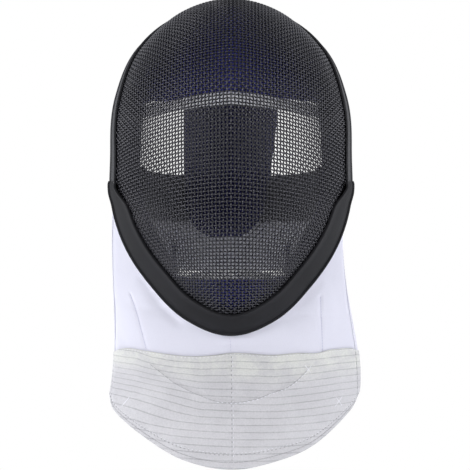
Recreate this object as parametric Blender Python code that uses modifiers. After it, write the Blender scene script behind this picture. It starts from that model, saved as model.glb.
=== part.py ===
"""Fencing mask: wire face basket, edge bindings, padded liner, tongue, straps, bib and apron.

The face datum has X across the face, Y going back and Z up. Its zero lies between the ears, in the
plane of the basket's side edges. Tables hold millimetres and degrees, everything else is in metres.
The model's origin is where the wearer's head carries the mask, under the crown of the liner.
"""

import math
from collections import namedtuple

import bmesh
import bpy
from mathutils import Vector

MM = 0.001

# Where the head carries the mask, in the face datum
HEAD_REST = Vector((0.0, 0.010, 0.1850))

# Basket
FACE_TIP = Vector((0.0, -0.100, 0.0243))
FACE_CREASE = math.radians(13)
BASKET_WALL = 0.0021
SPOKE_STEP = 5
FACE_RINGS = 12

# Edge bindings: a channel of one wall thickness round the basket's edge
BINDING_WALL = 0.0015
BINDING_CLEARANCE = 0.00045
EAR_ANGLE = 10
BINDING_END_GAP = 0.1
CROWN_BINDING_WIDTH = 0.0107

# Liner pads
PAD_LIFT = 0.0062
PAD_THICKNESS = 0.0125
PAD_EDGE_THICKNESS = 0.006
PAD_RIM_INSET = 0.003
PAD_LEAD = 0.0022
PAD_LEAD_SHARE = 0.35
PAD_LEAD_ANGLE = 13
PAD_LEAD_EASE_ANGLE = 6
BROW_LIFT = 0.022
BROW_ANGLE = 47
BROW_EASE_ANGLE = 5
BROW_STATIONS = 16
SIDE_PAD_STATIONS = 15
CROWN_PAD_INSET = 0.030
CROWN_PAD_HALF_ANGLE = 15
CROWN_PAD_EASE_ANGLE = 20
CHIN_PAD_TOP = -0.042
CHIN_PAD_ANGLE = -48

# Lining edges that show past the forehead and chin pads
TRIM_WALL = 0.0016
TRIM_REACH = 0.0101
TRIM_START = 0.0008
TRIM_STATIONS = 18
BROW_TRIM_ANGLE = 53
CHIN_TRIM_ANGLE = -57
TRIM_HANG = Vector((0.0, 0.12, -1.0)).normalized()
BROW_TRIM_END = Vector((0.0145, 0.0090, -0.0020))

# Tongue and straps
TONGUE_THICKNESS = 0.004
TONGUE_TUCK = 0.026
TONGUE_CLEARANCE = 0.0008
STRAP_THICKNESS = 0.0016
PIECE_GAP = 0.0003

# Bib and apron
BIB_WALL = 0.0020
BIB_LIFT = -0.0044
BIB_TUCK = 0.008
BIB_STEP_OUT = 0.0035
BIB_COLUMNS = 36
BIB_ROWS = 9
APRON_WALL = 0.0010
APRON_ROWS = 5

FaceSection = namedtuple("FaceSection", "angle rim_out rim_back rim_turn nose_pull rim_pull")
# One half-section of the face from its tip to the basket's edge, at each angle of the front view.
# rim_out and rim_back place the edge, rim_turn is how far the wall has turned back there.
FACE_SECTIONS = (
    FaceSection(-90, 108.4, 66, 52, 50.6, 53.1),
    FaceSection(-70, 103.2, 71, 52, 52.5, 46.8),
    FaceSection(-45, 95.8, 85, 54, 53.8, 40.3),
    FaceSection(-20, 97.1, 96, 60, 54.9, 36.9),
    FaceSection(5, 103.8, 100, 66, 55.3, 34.6),
    FaceSection(25, 113.9, 102, 70, 58.6, 34.1),
    FaceSection(45, 140.0, 110, 75, 72.1, 38.6),
    FaceSection(60, 163.4, 131, 88, 96.6, 48.9),
    FaceSection(75, 177.4, 161, 106, 131.8, 67.3),
    FaceSection(90, 178.4, 174, 113, 154.0, 79.8),
)

ChinBindingRow = namedtuple("ChinBindingRow", "away width")
# Width of the lower binding by how many degrees of the front view lie between it and the chin
CHIN_BINDING_ROWS = (
    ChinBindingRow(0, 30.5),
    ChinBindingRow(20, 32),
    ChinBindingRow(62, 32),
    ChinBindingRow(80, 29.5),
    ChinBindingRow(92, 25.8),
    ChinBindingRow(100, 14),
)

SidePadRow = namedtuple("SidePadRow", "angle width")
SIDE_PAD_ROWS = (
    SidePadRow(-47.5, 19),
    SidePadRow(-30, 21),
    SidePadRow(-10, 22.5),
    SidePadRow(20, 21.5),
    SidePadRow(33, 25),
    SidePadRow(46.6, 30),
)

BrowRow = namedtuple("BrowRow", "angle height")
# Height of the forehead pad's lower edge, from the side pad to the middle of the brow
BROW_ROWS = (
    BrowRow(47, 113.8),
    BrowRow(51, 117.2),
    BrowRow(55, 120.1),
    BrowRow(62, 123.8),
    BrowRow(73, 128.4),
    BrowRow(90, 132),
)

TongueRow = namedtuple("TongueRow", "back up half_width shift bow")
# The tongue's middle line below the basket's rear edge, and how far its sides bow forward
TONGUE_ROWS = (
    TongueRow(91.5, 184.5, 30.5, 0, 2.5),
    TongueRow(103, 170, 31.5, 0, 1),
    TongueRow(111.5, 150, 33, 0, 0),
    TongueRow(116, 126, 34, 0, 0),
    TongueRow(117, 90, 33, -2, 0),
    TongueRow(116.5, 54, 31, -4, 0),
    TongueRow(115, 24, 28, -6, 0),
    TongueRow(114, 6, 23, -6.5, 0),
)
TONGUE_SHARES = (-1.0, -0.5, 0.0, 0.5, 1.0)
TONGUE_TUCK_ANGLE = 9.7

TonguePadRow = namedtuple("TonguePadRow", "up half_width shift thickness")
TONGUE_PAD_ROWS = (
    TonguePadRow(131, 45, -0.5, 5),
    TonguePadRow(128, 46, -0.5, 9.5),
    TonguePadRow(121, 46, -0.5, 12.5),
    TonguePadRow(90, 45, -2, 14),
    TonguePadRow(43, 41, -5, 14),
    TonguePadRow(20, 37, -6, 12.5),
    TonguePadRow(6, 29, -6.5, 9),
    TonguePadRow(-2.5, 17, -6.5, 4),
)

StrapRow = namedtuple("StrapRow", "side back top bottom")
# Half of each strap, from behind the ear to the middle of the back
BACK_STRAP_ROWS = (
    StrapRow(86.5, 24, 63.5, 18.5),
    StrapRow(83, 60, 61, 16),
    StrapRow(69, 95, 58.5, 13.5),
    StrapRow(44, 117.5, 57.5, 12.7),
    StrapRow(20, 123.5, 57, 12.4),
    StrapRow(0, 124.5, 57, 12.4),
)
LOWER_STRAP_ROWS = (
    StrapRow(86, 24, 14.5, -27),
    StrapRow(86.5, 60, 17.5, -26),
    StrapRow(72.5, 97, 17.5, -28),
    StrapRow(46.5, 120.3, 17, -33),
    StrapRow(21, 127, 16.5, -36.5),
    StrapRow(0, 128, 16.5, -37),
)
StrapEnd = namedtuple("StrapEnd", "top_angle bottom_angle")
BACK_STRAP_END = StrapEnd(20.5, -2)
LOWER_STRAP_END = StrapEnd(-6, -33)
STRAP_END_INSETS = (0.020, 0.012, 0.004)
STRAP_TAB_SIDE = 0.0555
STRAP_TAB_SIZE = Vector((0.004, 0.0012, 0.020))
STRAP_TAB_RISE = 0.0125

BibRow = namedtuple("BibRow", "across out1 back1 down1 hem_side hem_back hem_up out2 back2 up2")
# across runs from the right ear (-1) past the chin (0) to the left ear (1). The first three
# lengths lead the cloth away from the binding, the next three place the hem, and the last
# three lead into the hem.
BIB_SECTIONS = (
    BibRow(-1.0, -10, 20, 56, -107.1, 25, -142.9, 11.5, -3, 53),
    BibRow(-0.8, -6, 18, 42, -100.5, 9, -156.6, 3, 0, 50),
    BibRow(-0.5, -6, 9, 24, -69.8, -22, -177.0, -1, 0, 54),
    BibRow(-0.25, -3, 5, 22, -38.5, -37, -192.5, 0, 1, 56),
    BibRow(0.0, 0, 4, 22, 0.9, -42, -199.4, 0, 1, 56),
    BibRow(0.25, 3, 5, 22, 40.0, -37, -192.4, 0, 1, 56),
    BibRow(0.5, 6, 9, 24, 71, -22, -180.5, 2, 0, 54),
    BibRow(0.8, 1, 18, 44, 103.0, 9, -156.0, 2, 0, 50),
    BibRow(1.0, -15, 20, 76, 113.4, 25, -139.5, 6, -4, 54),
)

ApronRow = namedtuple("ApronRow", "across top")
# Height of the apron's upper edge, across the bib as above
APRON_ROWS_TOP = (
    ApronRow(-1.0, -104.6),
    ApronRow(-0.85, -103.2),
    ApronRow(-0.75, -100.8),
    ApronRow(-0.65, -99.5),
    ApronRow(-0.5, -101.1),
    ApronRow(-0.35, -103.2),
    ApronRow(-0.2, -104.7),
    ApronRow(-0.08, -103.4),
    ApronRow(0.0, -101.3),
    ApronRow(0.08, -101.9),
    ApronRow(0.2, -103.5),
    ApronRow(0.35, -102.5),
    ApronRow(0.5, -103.0),
    ApronRow(0.6, -100.9),
    ApronRow(0.72, -100.4),
    ApronRow(0.85, -100.9),
    ApronRow(1.0, -103.6),
)

Finish = namedtuple("Finish", "colour roughness metallic")
FINISHES = {
    "enamelled_wire": Finish((0.045, 0.045, 0.050), 0.45, 0.3),
    "charcoal_rubber": Finish((0.033, 0.033, 0.037), 0.55, 0.0),
    "navy_padding": Finish((0.020, 0.020, 0.075), 0.85, 0.0),
    "white_cloth": Finish((0.80, 0.80, 0.86), 0.80, 0.0),
    "black_elastic": Finish((0.020, 0.020, 0.022), 0.80, 0.0),
    "grey_elastic": Finish((0.55, 0.55, 0.57), 0.80, 0.0),
    "grey_lame": Finish((0.60, 0.60, 0.62), 0.50, 0.3),
}


def read_table(rows, key):
    """Smoothly read every column of a table at one value of its first column."""
    keys = [row[0] for row in rows]
    key = min(max(key, keys[0]), keys[-1])
    at = max(i for i in range(len(rows) - 1) if keys[i] <= key or i == 0)
    before = rows[max(at - 1, 0)]
    start, end = rows[at], rows[at + 1]
    after = rows[min(at + 2, len(rows) - 1)]
    span = end[0] - start[0]
    t = (key - start[0]) / span
    values = []
    for column in range(1, len(start)):
        slope_in = (end[column] - before[column]) / (end[0] - before[0]) * span
        slope_out = (after[column] - start[column]) / (after[0] - start[0]) * span
        value = (
            (2 * t**3 - 3 * t**2 + 1) * start[column]
            + (t**3 - 2 * t**2 + t) * slope_in
            + (3 * t**2 - 2 * t**3) * end[column]
            + (t**3 - t**2) * slope_out
        )
        values.append(value)
    return type(start)(key, *values)


def mirrored_face_rows():
    """The face table with one more row past the chin and past the crown, so it reads level there."""
    first, last = FACE_SECTIONS[1], FACE_SECTIONS[-2]
    below = first._replace(angle=-180 - first.angle)
    above = last._replace(angle=180 - last.angle)
    return (below, *FACE_SECTIONS, above)


FACE_ROWS = mirrored_face_rows()


def face_row(angle):
    """The face section at any angle of the front view, 0 to the right and 90 up."""
    turned = (angle + 90) % 360 - 90
    if turned > 90:
        turned = 180 - turned
    return read_table(FACE_ROWS, turned)


def face_handles(angle):
    """The four control points (outwards, back) of the face section at an angle, in metres."""
    row = face_row(angle)
    start = FACE_CREASE * abs(math.cos(math.radians(angle)))
    turn = math.radians(row.rim_turn)
    rim = Vector((row.rim_out, row.rim_back)) * MM
    nose = Vector((math.cos(start), math.sin(start))) * row.nose_pull * MM
    rear = rim - Vector((math.cos(turn), math.sin(turn))) * row.rim_pull * MM
    return Vector((0.0, 0.0)), nose, rear, rim


def bezier(handles, t):
    """Point on a cubic curve through its four control points."""
    s = 1 - t
    a, b, c, d = handles
    return a * s**3 + b * 3 * s * s * t + c * 3 * s * t * t + d * t**3


def face_point(angle, along):
    """Point on the middle of the basket's wall, from the tip (0) to the edge (1)."""
    flat = bezier(face_handles(angle), along)
    turn = math.radians(angle)
    return FACE_TIP + Vector((flat.x * math.cos(turn), flat.y, flat.x * math.sin(turn)))


def face_frame(angle, along):
    """Direction of the section and outward normal of the face at a place."""
    step = 0.004
    section = face_point(angle, along) - face_point(angle, along - step)
    around = face_point(angle + 0.5, along) - face_point(angle - 0.5, along)
    return section.normalized(), section.cross(around).normalized()


def along_at(angle, inset):
    """Place on a section that lies a small distance in from the basket's edge."""
    return 1 - inset / (3 * face_row(angle).rim_pull * MM)


def rim_station(angle, inset, lift):
    """Point at a distance in from the basket's edge, raised off the wall's middle."""
    along = min(along_at(angle, inset), 1.0)
    section, normal = face_frame(angle, along)
    past_edge = max(-inset, 0.0)
    return face_point(angle, along) + section * past_edge + normal * lift


def lifted(angle, along, lift):
    """Point of the face raised off the wall's middle."""
    return face_point(angle, along) + face_frame(angle, along)[1] * lift


def along_at_height(angle, height):
    """Place on a section where the face reaches a height."""
    low, high = 0.05, 0.97
    rises = face_point(angle, high).z > face_point(angle, low).z
    for _ in range(30):
        middle = (low + high) / 2
        if (face_point(angle, middle).z < height) == rises:
            low = middle
        else:
            high = middle
    return low


def make_material(name):
    """A plain surface for one of the finishes."""
    finish = FINISHES[name]
    material = bpy.data.materials.new(name)
    material.use_nodes = True
    shader = material.node_tree.nodes["Principled BSDF"]
    shader.inputs["Base Color"].default_value = (*finish.colour, 1.0)
    shader.inputs["Roughness"].default_value = finish.roughness
    shader.inputs["Metallic"].default_value = finish.metallic
    return material


class Workshop:
    """Holds the collection, the datum that every piece hangs on, and the finishes."""

    def __init__(self):
        for old in list(bpy.data.objects):
            bpy.data.objects.remove(old, do_unlink=True)
        self.collection = bpy.data.collections.new("fencing_mask")
        bpy.context.scene.collection.children.link(self.collection)
        self.datum = bpy.data.objects.new("face_datum", None)
        self.datum.location = -HEAD_REST
        self.collection.objects.link(self.datum)
        self.finishes = {name: make_material(name) for name in FINISHES}

    def add(self, name, shape, finish):
        """Turn a finished bmesh into a named piece on the datum."""
        bmesh.ops.recalc_face_normals(shape, faces=shape.faces)
        mesh = bpy.data.meshes.new(name)
        shape.to_mesh(mesh)
        shape.free()
        mesh.shade_smooth()
        mesh.set_sharp_from_angle(angle=math.radians(40))
        mesh.materials.append(self.finishes[finish])
        piece = bpy.data.objects.new(name, mesh)
        piece.parent = self.datum
        self.collection.objects.link(piece)
        return piece

    def add_wall(self, name, shape, finish, wall):
        """Add an open sheet and give it a wall thickness about its middle."""
        piece = self.add(name, shape, finish)
        thickness = piece.modifiers.new("wall", "SOLIDIFY")
        thickness.thickness = wall
        thickness.offset = 0.0
        return piece


def loft(rings):
    """Closed body through rings of equal point counts, capped at both ends."""
    shape = bmesh.new()
    rows = [[shape.verts.new(point) for point in ring] for ring in rings]
    count = len(rows[0])
    for row, following in zip(rows, rows[1:]):
        for i in range(count):
            j = (i + 1) % count
            shape.faces.new((row[i], row[j], following[j], following[i]))
    shape.faces.new(rows[0])
    shape.faces.new(rows[-1])
    return shape


def sheet(rows):
    """Open sheet through rows of equal point counts."""
    shape = bmesh.new()
    lines = [[shape.verts.new(point) for point in row] for row in rows]
    for line, following in zip(lines, lines[1:]):
        for i in range(len(line) - 1):
            shape.faces.new((line[i], line[i + 1], following[i + 1], following[i]))
    return shape


def face_spokes():
    """Angles of the basket's sections, once round."""
    return range(-90, 270, SPOKE_STEP)


def binding_width(angle):
    """Width of the binding that covers the basket's edge at an angle of the front view."""
    if EAR_ANGLE < angle < 180 - EAR_ANGLE:
        return CROWN_BINDING_WIDTH
    away = abs((angle + 90 + 180) % 360 - 180)
    return read_table(CHIN_BINDING_ROWS, away).width * MM


def basket_stations(angle):
    """Places along a section: even over the open face, closer under the bindings."""
    width = binding_width(angle)
    inner = along_at(angle, width)
    face = [inner * (i + 1) / FACE_RINGS for i in range(FACE_RINGS)]
    edge = [along_at(angle, width * part / 3) for part in (2, 1, 0)]
    return face + edge


def build_basket(shop):
    """Domed wire face: rings round the tip, closed there by a fan."""
    shape = bmesh.new()
    tip = shape.verts.new(FACE_TIP)
    spokes = []
    for angle in face_spokes():
        stations = basket_stations(angle)
        spokes.append([shape.verts.new(face_point(angle, along)) for along in stations])
    for spoke, following in zip(spokes, spokes[1:] + spokes[:1]):
        shape.faces.new((tip, following[0], spoke[0]))
        for i in range(len(spoke) - 1):
            shape.faces.new((spoke[i], following[i], following[i + 1], spoke[i + 1]))
    shop.add_wall("wire_basket", shape, "enamelled_wire", BASKET_WALL)


def channel_ring(angle):
    """Outline of the binding's channel at one angle, from the basket's front round its edge."""
    width = binding_width(angle)
    inner = BASKET_WALL / 2 + BINDING_CLEARANCE
    outer = inner + BINDING_WALL
    bottom = -BINDING_CLEARANCE
    back = bottom - BINDING_WALL
    thirds = [width * part / 3 for part in (3, 2, 1)]
    outline = [(inset, inner) for inset in reversed(thirds)] + [(inset, outer) for inset in thirds]
    outline += [(back, outer), (back, -outer)]
    outline += [(inset, -outer) for inset in reversed(thirds)] + [(inset, -inner) for inset in thirds]
    outline += [(bottom, -inner), (bottom, inner)]
    return [rim_station(angle, inset, lift) for inset, lift in outline]


def build_binding(shop, name, start, end):
    """Channel over the basket's edge between two angles."""
    count = round((end - start) / SPOKE_STEP)
    inside = [start + SPOKE_STEP * i for i in range(1, count)]
    angles = [start + BINDING_END_GAP, *inside, end - BINDING_END_GAP]
    shape = loft([channel_ring(angle) for angle in angles])
    shop.add(name, shape, "charcoal_rubber")


def pad_ring(angle, outer_along, inner_along, front_lift):
    """Outline of a pad at one angle: its face towards the wire, then its crowned head side."""
    steps = (0.0, 0.12, 0.5, 0.88, 1.0)
    fullness = (0.0, 0.75, 1.0, 0.75, 0.0)
    front, rear = [], []
    for step, full in zip(steps, fullness):
        along = outer_along + (inner_along - outer_along) * step
        lift = front_lift(step)
        thickness = PAD_EDGE_THICKNESS + (PAD_THICKNESS - PAD_EDGE_THICKNESS) * full
        front.append(lifted(angle, along, edge_lead(angle, step) - lift))
        rear.append(lifted(angle, along, -lift - thickness))
    return front + rear[::-1]


def edge_lead(angle, step):
    """How much closer to the wire a pad's face lies near its outer edge, above the bib's ends."""
    above = eased((90 - abs(angle - 90) - PAD_LEAD_ANGLE) / PAD_LEAD_EASE_ANGLE)
    return PAD_LEAD * above * (1 - eased(step / PAD_LEAD_SHARE))


def level_front(step):
    """The pad lies at one distance inside the wire."""
    return PAD_LIFT


def brow_front(angle):
    """The forehead pad leaves the wire towards its lower edge, most of all at the middle."""
    share = math.sin(math.radians((angle - BROW_ANGLE) / (180 - 2 * BROW_ANGLE) * 180))
    reach = (BROW_LIFT - PAD_LIFT) * max(share, 0.0) ** 0.7

    def front(step):
        return PAD_LIFT + reach * eased((step - 0.25) / 0.75)

    return front


def eased(share):
    """A share from 0 to 1 with a smooth start and end."""
    held = min(max(share, 0.0), 1.0)
    return held * held * (3 - 2 * held)


def crown_inset(angle):
    """The pad's rear edge keeps clear of the tongue at the middle and meets the edge at the sides."""
    away = (abs(angle - 90) - CROWN_PAD_HALF_ANGLE) / CROWN_PAD_EASE_ANGLE
    return CROWN_PAD_INSET + (PAD_RIM_INSET - CROWN_PAD_INSET) * eased(away)


def brow_along(angle):
    """Place along a section of the forehead pad's lower edge."""
    side = along_at(angle, PAD_RIM_INSET + SIDE_PAD_ROWS[-1].width * MM)
    brow = along_at_height(angle, read_table(BROW_ROWS, 90 - abs(angle - 90)).height * MM)
    return side + (brow - side) * eased((90 - abs(angle - 90) - BROW_ANGLE) / BROW_EASE_ANGLE)


def build_forehead_pad(shop):
    """Pad from the brow up to the crown."""
    rings = []
    for i in range(BROW_STATIONS + 1):
        angle = BROW_ANGLE + (180 - 2 * BROW_ANGLE) * i / BROW_STATIONS
        outer = along_at(angle, crown_inset(angle))
        rings.append(pad_ring(angle, outer, brow_along(angle), brow_front(angle)))
    shop.add("forehead_pad", loft(rings), "navy_padding")


def trim_rings(lines):
    """Flat strip outlines from (root, free edge) pairs, one wall thick."""
    rings = []
    for i, (root, free) in enumerate(lines):
        behind, ahead = lines[max(i - 1, 0)][0], lines[min(i + 1, len(lines) - 1)][0]
        through = (ahead - behind).cross(free - root).normalized() * TRIM_WALL / 2
        rings.append([root + through, free + through, free - through, root - through])
    return rings


def build_trims(shop):
    """White lining edges under the forehead pad and over the chin pad."""
    roots = []
    for i in range(TRIM_STATIONS + 1):
        angle = BROW_TRIM_ANGLE + (180 - 2 * BROW_TRIM_ANGLE) * i / TRIM_STATIONS
        lift = brow_front(angle)(1.0) + PAD_EDGE_THICKNESS / 2
        roots.append(lifted(angle, brow_along(angle), -lift) + TRIM_HANG * TRIM_START)
    roots = [roots[0] + BROW_TRIM_END, *roots, roots[-1] + mirror_point(BROW_TRIM_END)]
    lines = [(root, root + TRIM_HANG * TRIM_REACH) for root in roots]
    shop.add("forehead_trim", loft(trim_rings(lines)), "white_cloth")
    lines = []
    for i in range(TRIM_STATIONS + 1):
        angle = CHIN_TRIM_ANGLE + (-180 - 2 * CHIN_TRIM_ANGLE) * i / TRIM_STATIONS
        lift = PAD_LIFT + PAD_EDGE_THICKNESS / 2
        top = along_at_height(angle, CHIN_PAD_TOP)
        root = lifted(angle, top, -lift)
        rise = (lifted(angle, top - 0.02, -lift) - root).normalized()
        root = root + rise * TRIM_START
        lines.append((root, root + rise * TRIM_REACH))
    shop.add("chin_trim", loft(trim_rings(lines)), "white_cloth")


def build_side_pads(shop):
    """Pad along each cheek, from the forehead pad down to the chin pad."""
    first, last = SIDE_PAD_ROWS[0].angle, SIDE_PAD_ROWS[-1].angle
    for side in ("right", "left"):
        rings = []
        for i in range(SIDE_PAD_STATIONS + 1):
            angle = first + (last - first) * i / SIDE_PAD_STATIONS
            width = read_table(SIDE_PAD_ROWS, angle).width * MM
            placed = angle if side == "left" else 180 - angle
            outer = along_at(placed, PAD_RIM_INSET)
            inner = along_at(placed, PAD_RIM_INSET + width)
            rings.append(pad_ring(placed, outer, inner, level_front))
        shop.add("side_pad_" + side, loft(rings), "navy_padding")


def build_chin_pad(shop):
    """Pad inside the chin."""
    rings = []
    for angle in range(CHIN_PAD_ANGLE, -181 - CHIN_PAD_ANGLE, -6):
        top = along_at_height(angle, CHIN_PAD_TOP)
        rings.append(pad_ring(angle, along_at(angle, PAD_RIM_INSET), top, level_front))
    shop.add("chin_pad", loft(rings), "navy_padding")


def slab_ring(middle, across, through, half_width, thickness):
    """Rectangle about a point, with its width across and its thickness through."""
    side = across * half_width
    half = through * thickness / 2
    return [middle - side - half, middle + side - half, middle + side + half, middle - side + half]


def tucked_tongue_ring(inset):
    """Outline of the tongue under the crown, where it follows the basket's curve."""
    top = -(BASKET_WALL / 2 + BINDING_CLEARANCE + BINDING_WALL + TONGUE_CLEARANCE)
    angles = [90 - TONGUE_TUCK_ANGLE * share for share in TONGUE_SHARES]
    upper = [rim_station(angle, inset, top) for angle in angles]
    lower = [rim_station(angle, inset, top - TONGUE_THICKNESS) for angle in angles]
    return upper + lower[::-1]


def free_tongue_ring(at):
    """Outline of the tongue at a row of its table, slightly bowed about the head."""
    row = TONGUE_ROWS[at]
    above, below = TONGUE_ROWS[max(at - 1, 0)], TONGUE_ROWS[min(at + 1, len(TONGUE_ROWS) - 1)]
    run = Vector((0.0, below.back - above.back, below.up - above.up))
    through = Vector((0.0, -run.z, run.y)).normalized()
    ring = []
    for half in (TONGUE_THICKNESS / 2, -TONGUE_THICKNESS / 2):
        for share in TONGUE_SHARES if half > 0 else TONGUE_SHARES[::-1]:
            point = Vector((row.shift + row.half_width * share, row.back, row.up)) * MM
            ring.append(point + through * (half - row.bow * MM * share * share))
    return ring


def build_tongue(shop):
    """Spring leaf in its cloth sleeve."""
    rings = [tucked_tongue_ring(TONGUE_TUCK * share) for share in (1.0, 0.5, 0.0, -0.2)]
    rings += [free_tongue_ring(at) for at in range(len(TONGUE_ROWS))]
    shop.add("tongue", loft(rings), "white_cloth")


def tongue_back_at(height):
    """How far back the tongue's middle line lies at a height."""
    rows = [(row.up, row.back) for row in reversed(TONGUE_ROWS)]
    if height <= rows[0][0]:
        return rows[0][1] * MM
    for (low, low_back), (high, high_back) in zip(rows, rows[1:]):
        if low <= height <= high:
            return (low_back + (high_back - low_back) * (height - low) / (high - low)) * MM
    return rows[-1][1] * MM


def build_tongue_pad(shop):
    """Cushion on the side of the tongue that faces the head."""
    rings = []
    for row in TONGUE_PAD_ROWS:
        rear = tongue_back_at(row.up) - TONGUE_THICKNESS / 2 - PIECE_GAP
        ring = []
        for across, full in ((-1, 0.3), (-0.85, 0.8), (-0.45, 1), (0.45, 1), (0.85, 0.8), (1, 0.3)):
            x = row.shift + row.half_width * across
            ring.append(Vector((x * MM, rear - row.thickness * full * MM, row.up * MM)))
        ring.append(Vector(((row.shift + row.half_width) * MM, rear, row.up * MM)))
        ring.append(Vector(((row.shift - row.half_width) * MM, rear, row.up * MM)))
        rings.append(ring)
    shop.add("tongue_pad", loft(rings), "navy_padding")


def strap_stations(rows, end):
    """Top and bottom points of half a strap, from its sewn end to the middle of the back."""
    lift = -(PAD_LIFT + PAD_THICKNESS + PIECE_GAP + STRAP_THICKNESS / 2)
    stations = []
    for inset in STRAP_END_INSETS:
        top = rim_station(end.top_angle, inset, lift)
        bottom = rim_station(end.bottom_angle, inset, lift)
        stations.append((top, bottom))
    for row in rows:
        top = Vector((row.side, row.back, row.top)) * MM
        bottom = Vector((row.side, row.back, row.bottom)) * MM
        stations.append((top, bottom))
    return stations


def mirror_point(point):
    """The same place on the other side of the face."""
    return Vector((-point.x, point.y, point.z))


def smooth_route(stations, pieces=3):
    """More stations between the given ones, on a smooth curve through them."""
    route = []
    last = len(stations) - 1
    for i in range(last):
        before, start = stations[max(i - 1, 0)], stations[i]
        end, after = stations[i + 1], stations[min(i + 2, last)]
        for part in range(pieces):
            t = part / pieces
            route.append(tuple(catmull(b, s, e, a, t) for b, s, e, a in zip(before, start, end, after)))
    route.append(stations[last])
    return route


def catmull(before, start, end, after, t):
    """Point between start and end on the smooth curve through four points."""
    slope_in = (end - before) / 2
    slope_out = (after - start) / 2
    return (
        start * (2 * t**3 - 3 * t**2 + 1)
        + slope_in * (t**3 - 2 * t**2 + t)
        + end * (3 * t**2 - 2 * t**3)
        + slope_out * (t**3 - t**2)
    )


def strap_route(rows, end):
    """Stations of a whole strap from one ear to the other."""
    half = strap_stations(rows, end)
    other = [(mirror_point(top), mirror_point(bottom)) for top, bottom in half[:-1]]
    return smooth_route(other + half[::-1])


def strap_rings(route):
    """Thin upright rectangles along a strap's route."""
    rings = []
    for i, (top, bottom) in enumerate(route):
        ahead = route[min(i + 1, len(route) - 1)]
        behind = route[max(i - 1, 0)]
        run = (ahead[0] + ahead[1]) - (behind[0] + behind[1])
        through = run.cross(top - bottom).normalized() * STRAP_THICKNESS / 2
        rings.append([top + through, bottom + through, bottom - through, top - through])
    return rings


def build_strap(shop, name, rows, end, finish):
    """Flat elastic strap round the back."""
    shop.add(name, loft(strap_rings(strap_route(rows, end))), finish)


def build_strap_tabs(shop):
    """Small upright tabs on the head side of the lower strap."""
    route = strap_route(LOWER_STRAP_ROWS, LOWER_STRAP_END)
    for side, sign in (("right", -1), ("left", 1)):
        crossing = None
        for (start, low), (end, _) in zip(route, route[1:]):
            inside = (start.x - sign * STRAP_TAB_SIDE) * (end.x - sign * STRAP_TAB_SIDE) <= 0
            if inside and start.y > 0.05:
                crossing = (start, low, end)
        start, low, end = crossing
        run = (end - start).normalized()
        share = (sign * STRAP_TAB_SIDE - start.x) / (end.x - start.x)
        foot = start.lerp(end, share)
        head_side = Vector((run.y, -run.x, 0)).normalized()
        if head_side.y > 0:
            head_side = -head_side
        reach = STRAP_THICKNESS / 2 + 2 * PIECE_GAP + STRAP_TAB_SIZE.y / 2
        centre = Vector((foot.x, foot.y, low.z + STRAP_TAB_RISE)) + head_side * reach
        rings = []
        for end_share in (-0.5, 0.5):
            middle = centre + Vector((0, 0, STRAP_TAB_SIZE.z * end_share))
            rings.append(slab_ring(middle, run, head_side, STRAP_TAB_SIZE.x / 2, STRAP_TAB_SIZE.y))
        shop.add("strap_tab_" + side, loft(rings), "navy_padding")


def bib_angle(across):
    """Angle round the basket's edge where a column of the bib starts."""
    return -90 + across * (90 + EAR_ANGLE - 1)


def bib_point(across, down):
    """Middle of the bib's cloth: from inside the binding (below 0) past it (0) to the hem (1)."""
    angle = bib_angle(across)
    step = rim_station(angle, -BIB_STEP_OUT, BIB_LIFT)
    if down < 0:
        return rim_station(angle, -BIB_STEP_OUT - down * (BIB_TUCK + BIB_STEP_OUT), BIB_LIFT)
    row = read_table(BIB_SECTIONS, across)
    hem = Vector((row.hem_side, row.hem_back, row.hem_up)) * MM
    lead_out = step + Vector((row.out1, row.back1, -row.down1)) * MM
    lead_in = hem + Vector((row.out2, row.back2, row.up2)) * MM
    return bezier((step, lead_out, lead_in, hem), down)


def bib_columns():
    """Places across the bib, from ear to ear."""
    return [-1 + 2 * i / BIB_COLUMNS for i in range(BIB_COLUMNS + 1)]


def build_bib(shop):
    """Cloth bib from inside the chin binding to its hem."""
    places = [-1.0, -0.5] + [i / BIB_ROWS for i in range(BIB_ROWS + 1)]
    rows = [[bib_point(across, down) for across in bib_columns()] for down in places]
    shop.add_wall("bib", sheet(rows), "white_cloth", BIB_WALL)


def bib_normal(across, down):
    """Direction out of the bib's outer face."""
    step = 0.01
    sideways = bib_point(min(across + step, 1), down) - bib_point(max(across - step, -1), down)
    falling = bib_point(across, min(down + step, 1)) - bib_point(across, max(down - step, 0))
    return falling.cross(sideways).normalized()


def apron_start(across):
    """Place down the bib where the apron's upper edge lies."""
    height = read_table(APRON_ROWS_TOP, across).top * MM
    low, high = 0.0, 1.0
    for _ in range(30):
        middle = (low + high) / 2
        if bib_point(across, middle).z > height:
            low = middle
        else:
            high = middle
    return low


def build_apron(shop):
    """Conductive cloth over the lower part of the bib."""
    lift = BIB_WALL / 2 + 1.5 * PIECE_GAP + APRON_WALL / 2
    rows = []
    for i in range(APRON_ROWS + 1):
        row = []
        for across in bib_columns():
            start = apron_start(across)
            down = start + (1 - start) * i / APRON_ROWS
            row.append(bib_point(across, down) + bib_normal(across, down) * lift)
        rows.append(row)
    shop.add_wall("lame_apron", sheet(rows), "grey_lame", APRON_WALL)


def main():
    """Build every piece of the mask."""
    shop = Workshop()
    build_basket(shop)
    build_binding(shop, "crown_binding", EAR_ANGLE, 180 - EAR_ANGLE)
    build_binding(shop, "chin_binding", -180 - EAR_ANGLE, EAR_ANGLE)
    build_forehead_pad(shop)
    build_side_pads(shop)
    build_chin_pad(shop)
    build_trims(shop)
    build_tongue(shop)
    build_tongue_pad(shop)
    build_strap(shop, "back_strap", BACK_STRAP_ROWS, BACK_STRAP_END, "black_elastic")
    build_strap(shop, "lower_strap", LOWER_STRAP_ROWS, LOWER_STRAP_END, "grey_elastic")
    build_strap_tabs(shop)
    build_bib(shop)
    build_apron(shop)


main()
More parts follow.
